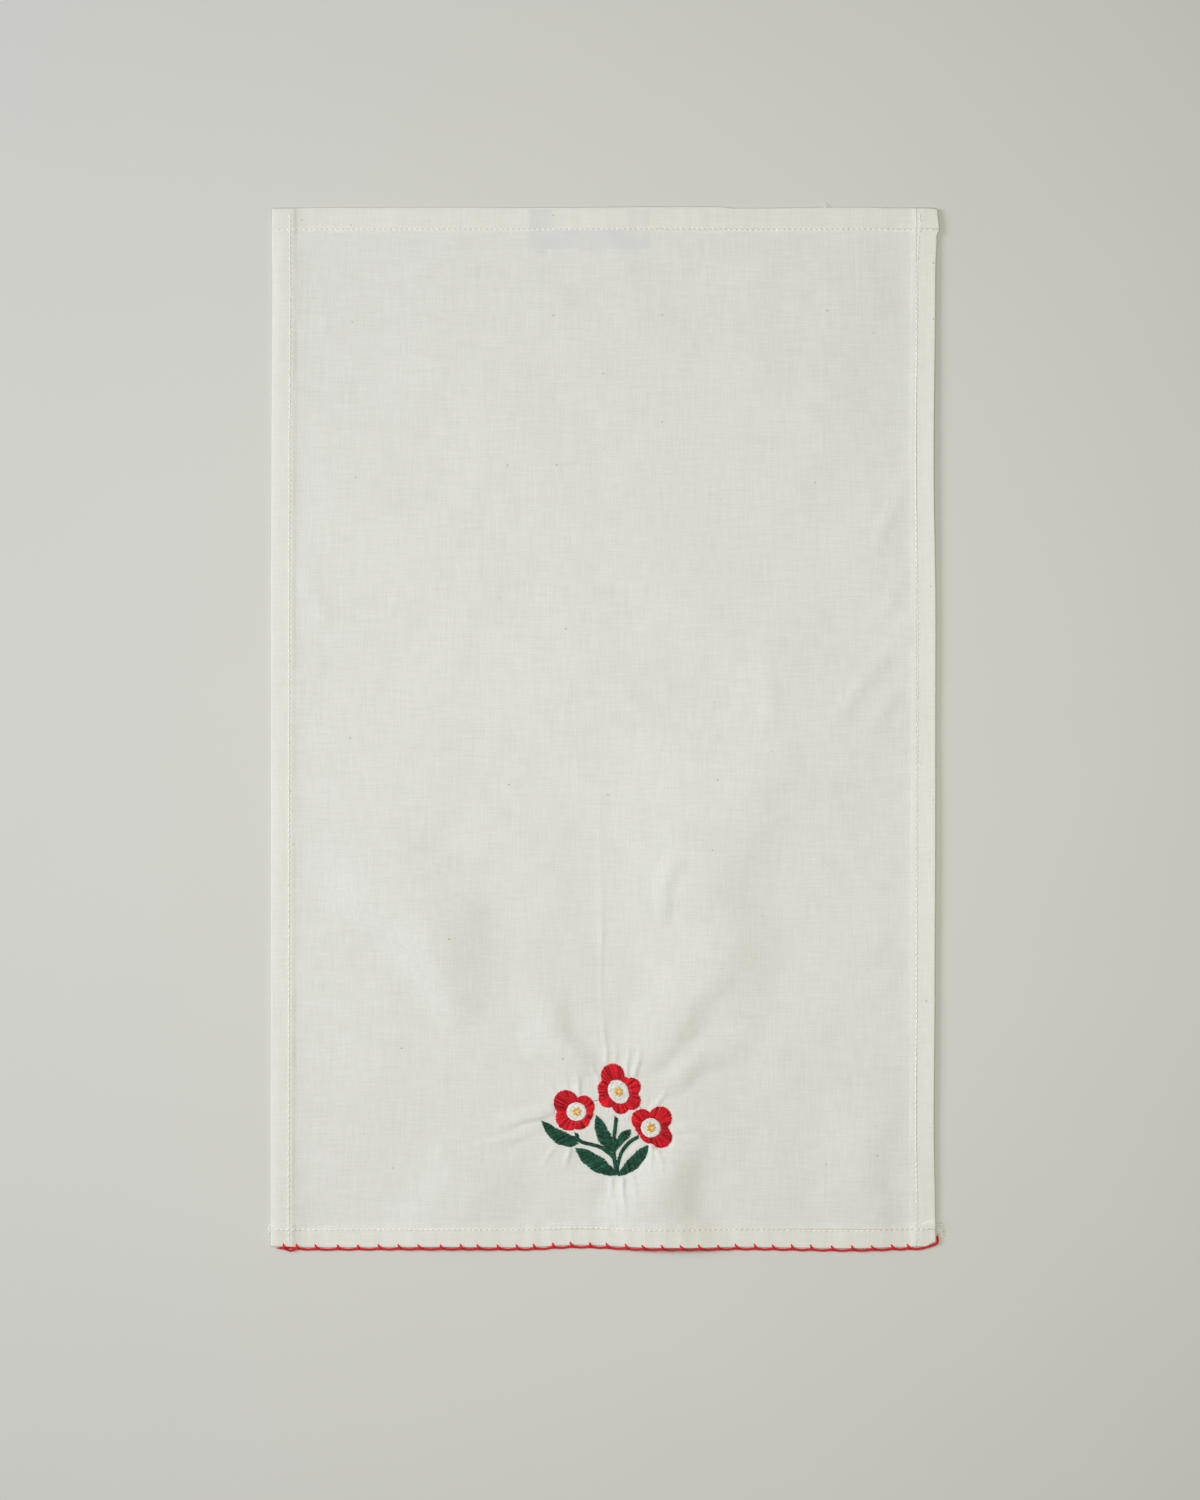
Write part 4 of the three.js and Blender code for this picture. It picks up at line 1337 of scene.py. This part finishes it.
class TowelColours(bpy.types.PropertyGroup):
    """Colours of the cloth, the threads, the yarn, the tape and the floor."""

    field_light: colour("Field, pale", "Single cloth where it is palest", 225, 225, 219)
    field_dark: colour("Field, dark", "Single cloth where it is darkest", 213, 213, 206)
    hem: colour("Hem", "Cloth where a hem doubles it", 224, 222, 213)
    over_tape: colour("Over the tape", "Cloth with the tape behind it", 212, 213, 210)
    # The colour of the painted shade along the hems' stitch lines.
    seam: colour("Seam", "Cloth drawn down between two machine stitches", 190, 180, 166)
    speck: colour("Speck", "Bits of husk spun into the cloth", 150, 128, 104)
    stitch_dark: colour("Hem stitch, dark", "Shaded sewing thread", 222, 220, 212)
    stitch_light: colour("Hem stitch, pale", "Sewing thread", 248, 247, 243)
    red_dark: colour("Red thread, dark", "Petals in the shade of a strand", 132, 2, 18)
    red_light: colour("Red thread, pale", "Petals on the crown of a strand", 255, 28, 48)
    green_dark: colour("Green thread, dark", "Leaves in the shade of a strand", 6, 30, 22)
    green_light: colour("Green thread, pale", "Leaves on the crown of a strand", 36, 106, 80)
    white_dark: colour("White thread, dark", "Eyes in the shade of a strand", 206, 206, 200)
    white_light: colour("White thread, pale", "Eyes on the crown of a strand", 240, 240, 235)
    yellow_dark: colour("Yellow thread, dark", "Stars in the shade of a strand", 206, 150, 28)
    yellow_light: colour("Yellow thread, pale", "Stars on the crown of a strand", 250, 210, 90)
    # Painted shade in the yarn's twist and painted light on its crowns.
    yarn_twist_shade: colour("Yarn, dark", "Edging yarn in its twist", 156, 6, 24)
    yarn_crown_light: colour("Yarn, pale", "Edging yarn on its crown", 244, 32, 46)
    tape: colour("Tape", "Hanging tape", 91, 102, 112)
    floor: colour("Floor", "The surface that the towel lies on", 207, 207, 200)


class TowelSizes(bpy.types.PropertyGroup):
    """Sizes of the sewing."""

    thread_pitch: size("Thread pitch", "From one embroidery thread to the next", 0.42)
    hem_pitch: size("Hem stitch pitch", "From one machine stitch of the hems to the next", 3.6)
    ply_length: size("Yarn turn", "Length in which the yarn's two plies turn once", 3.3)


class TowelStage(bpy.types.PropertyGroup):
    """The camera and the light."""

    camera_height: size("Camera height", "Height of the camera over the floor", 2405)
    camera_left: size("Camera offset, left", "How far the camera is left of the towel's middle", 3.2)
    camera_down: size("Camera offset, down", "How far the camera is below the towel's middle", 13.97)
    lens: bpy.props.FloatProperty(name="Lens", description="Focal length", default=85, unit="CAMERA")
    key_distance: size("Key distance", "From the soft light to the towel's middle", 3600)
    key_width: size("Key width", "Side of the square soft light", 1500)
    key_rise: angle("Key rise", "Angle of the soft light over the floor", 30)
    key_turn: angle("Key turn", "Turn of the soft light from the left towards the top", 8)
    key_power: watts("Key power", "Power of the soft light", 77)
    key_tint: tint("Key tint", "Colour of the soft light, a little cool", 0.93, 0.98, 1.18)
    fill: bpy.props.FloatProperty(name="Fill", description="Strength of the light all round", default=0.2)
    fill_tint: tint("Fill tint", "Colour of the light all round and above, a little warm", 1.03, 1.01, 0.9)
    top_height: size("Top height", "Height of the light over the towel's middle", 1400)
    top_right: size("Top offset, right", "How far the light overhead is right of the middle", 50)
    top_down: size("Top offset, down", "How far the light overhead is below the middle", 30)
    top_width: size("Top width", "Side of the square light over the towel", 700)
    top_power: watts("Top power", "Power of the light over the towel", 10.8)


# Finishes by name

FINISHES = {
    "cotton_weave": cotton_finish,
    "edging_yarn": yarn_finish,
    "tape_weave": tape_finish,
    "pale_surface": floor_finish,
}
THREADS = {
    "hem_thread": ("stitch_dark", "stitch_light"),
    "red_satin": ("red_dark", "red_light"),
    "green_satin": ("green_dark", "green_light"),
    "white_satin": ("white_dark", "white_light"),
    "yellow_satin": ("yellow_dark", "yellow_light"),
}


def finish(context, name):
    """The finish of that name, made when it is first asked for."""
    known = bpy.data.materials.get(name)
    if known:
        return known
    colours = context.scene.towel_colours
    if name in FINISHES:
        return FINISHES[name](colours)
    dark, light = (tuple(getattr(colours, key)) for key in THREADS[name])
    return thread_finish(name, dark, light)


def add_light(name, place, width, power, shade):
    """A square area light that faces the floor's middle and isn't seen itself."""
    light = bpy.data.lights.new(name, "AREA")
    light.shape = "SQUARE"
    light.size = width
    light.energy = power
    light.color = shade
    lamp = bpy.data.objects.new(name, light)
    lamp.location = place
    lamp.rotation_euler = place.to_track_quat("Z", "Y").to_euler()
    lamp.visible_camera = False
    bpy.context.scene.collection.objects.link(lamp)


# Operators


class TEATOWEL_OT_stage(bpy.types.Operator):
    """A plain pale floor, one large soft light from the left with a soft fill, and the camera overhead"""

    bl_idname = "tea_towel.stage"
    bl_label = "Stage"

    def execute(self, context):
        settings = context.scene.towel_stage
        reach = 4000.0
        corners = reach * np.array([(-1, -1, 0), (1, -1, 0), (1, 1, 0), (-1, 1, 0)])
        floor_part = Part(corners, [np.arange(4)[None]], np.full(4, 0.5))
        new_object("floor", floor_part, finish(context, "pale_surface"))

        rise, turn = settings.key_rise, settings.key_turn
        way = np.array([-np.cos(rise) * np.cos(turn), np.cos(rise) * np.sin(turn), np.sin(rise)])
        key_place = Vector(way) * settings.key_distance
        cool, warm = tuple(settings.key_tint), tuple(settings.fill_tint)
        add_light("soft_key", key_place, settings.key_width, settings.key_power, cool)
        top_place = Vector((settings.top_right, -settings.top_down, settings.top_height))
        add_light("soft_top", top_place, settings.top_width, settings.top_power, warm)

        world = bpy.data.worlds.new("soft_fill")
        world.use_nodes = True
        background = world.node_tree.nodes["Background"]
        background.inputs["Color"].default_value = (*warm, 1)
        background.inputs["Strength"].default_value = settings.fill
        context.scene.world = world

        view = bpy.data.cameras.new("overhead")
        view.lens = settings.lens
        camera = bpy.data.objects.new("overhead", view)
        camera.location = (-settings.camera_left, -settings.camera_down, settings.camera_height)
        context.scene.collection.objects.link(camera)
        context.scene.camera = camera
        context.scene.view_settings.view_transform = "Standard"
        return {"FINISHED"}


class TEATOWEL_OT_sprig(bpy.types.Operator):
    """The embroidered sprig: stems, leaves, and blooms with their eyes and stars"""

    bl_idname = "tea_towel.sprig"
    bl_label = "Sprig"

    def execute(self, context):
        rng = np.random.default_rng(7)
        pitch = context.scene.towel_sizes.thread_pitch / MM
        green, red = finish(context, "green_satin"), finish(context, "red_satin")
        white, yellow = finish(context, "white_satin"), finish(context, "yellow_satin")
        stems = joined([part for points in STEMS for part in stem_part(points, pitch, rng)])
        add_piece("stem_stitches", stems, green, ["stems"])
        for leaf in LEAVES:
            node = "leaf_" + leaf.name
            add_piece(node + "_satin", joined(leaf_part(leaf, pitch, rng)), green, [node])
        for bloom in BLOOMS:
            petals = joined(petals_part(bloom, pitch, rng))
            add_piece(f"petal_satin_{bloom.name}", petals, red, [f"petals_{bloom.name}"])
            eye = eye_part(bloom, pitch, rng)
            add_piece(f"eye_fill_{bloom.name}", eye, white, [f"eye_{bloom.name}"])
            star = star_part(bloom, rng)
            add_piece(f"star_rays_{bloom.name}", star, yellow, [f"star_{bloom.name}"])
        add_piece("stray_threads", stray_threads_part(), red)
        return {"FINISHED"}


class TEATOWEL_OT_edging(bpy.types.Operator):
    """The two-ply yarn in blanket stitch along the bottom fold"""

    bl_idname = "tea_towel.edging"
    bl_label = "Edging"

    def execute(self, context):
        part = edging_part(context.scene.towel_sizes.ply_length / MM)
        add_piece("blanket_stitch", part, finish(context, "edging_yarn"), ["edging"])
        return {"FINISHED"}


class TEATOWEL_OT_loop(bpy.types.Operator):
    """The tape loop that lies behind the top hem"""

    bl_idname = "tea_towel.loop"
    bl_label = "Hanging loop"

    def execute(self, context):
        part = loop_part()
        tape = add_piece("loop_tape", part, finish(context, "tape_weave"), ["hanging_loop"])
        return {"FINISHED"}


class TEATOWEL_OT_hem_stitches(bpy.types.Operator):
    """The machine stitching of the hems, and the loose ends of thread"""

    bl_idname = "tea_towel.hem_stitches"
    bl_label = "Hem stitching"

    def execute(self, context):
        pitch = context.scene.towel_sizes.hem_pitch / MM
        thread = finish(context, "hem_thread")
        add_piece("hem_stitches", hem_stitches_part(pitch), thread)
        add_piece("loose_ends", loose_ends_part(), thread)
        return {"FINISHED"}


class TEATOWEL_OT_cloth(bpy.types.Operator):
    """The cotton cloth with its turned hems, made last"""

    bl_idname = "tea_towel.cloth"
    bl_label = "Cloth"

    def execute(self, context):
        cotton = finish(context, "cotton_weave")
        cloth = add_piece("hemmed_cloth", cloth_part(), cotton, ["cloth"])
        return {"FINISHED"}


class TEATOWEL_PT_pieces(bpy.types.Panel):
    """The towel's pieces, sizes and colours in the sidebar"""

    bl_label = "Tea towel"
    bl_space_type = "VIEW_3D"
    bl_region_type = "UI"
    bl_category = "Tea towel"

    def draw(self, context):
        for made in OPERATORS:
            self.layout.operator(made.bl_idname)
        for group in (context.scene.towel_sizes, context.scene.towel_stage, context.scene.towel_colours):
            for key in group.__annotations__:
                self.layout.prop(group, key)


OPERATORS = (
    TEATOWEL_OT_stage,
    TEATOWEL_OT_sprig,
    TEATOWEL_OT_edging,
    TEATOWEL_OT_loop,
    TEATOWEL_OT_hem_stitches,
    TEATOWEL_OT_cloth,
)
CLASSES = (TowelColours, TowelSizes, TowelStage, *OPERATORS, TEATOWEL_PT_pieces)


def register():
    for made in CLASSES:
        bpy.utils.register_class(made)
    bpy.types.Scene.towel_colours = bpy.props.PointerProperty(type=TowelColours)
    bpy.types.Scene.towel_sizes = bpy.props.PointerProperty(type=TowelSizes)
    bpy.types.Scene.towel_stage = bpy.props.PointerProperty(type=TowelStage)


def unregister():
    del bpy.types.Scene.towel_stage
    del bpy.types.Scene.towel_sizes
    del bpy.types.Scene.towel_colours
    for made in reversed(CLASSES):
        bpy.utils.unregister_class(made)


def main():
    register()
    bpy.ops.tea_towel.stage()
    bpy.ops.tea_towel.sprig()
    bpy.ops.tea_towel.edging()
    bpy.ops.tea_towel.loop()
    bpy.ops.tea_towel.hem_stitches()
    bpy.ops.tea_towel.cloth()
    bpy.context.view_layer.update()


if __name__ == "__main__":
    main()
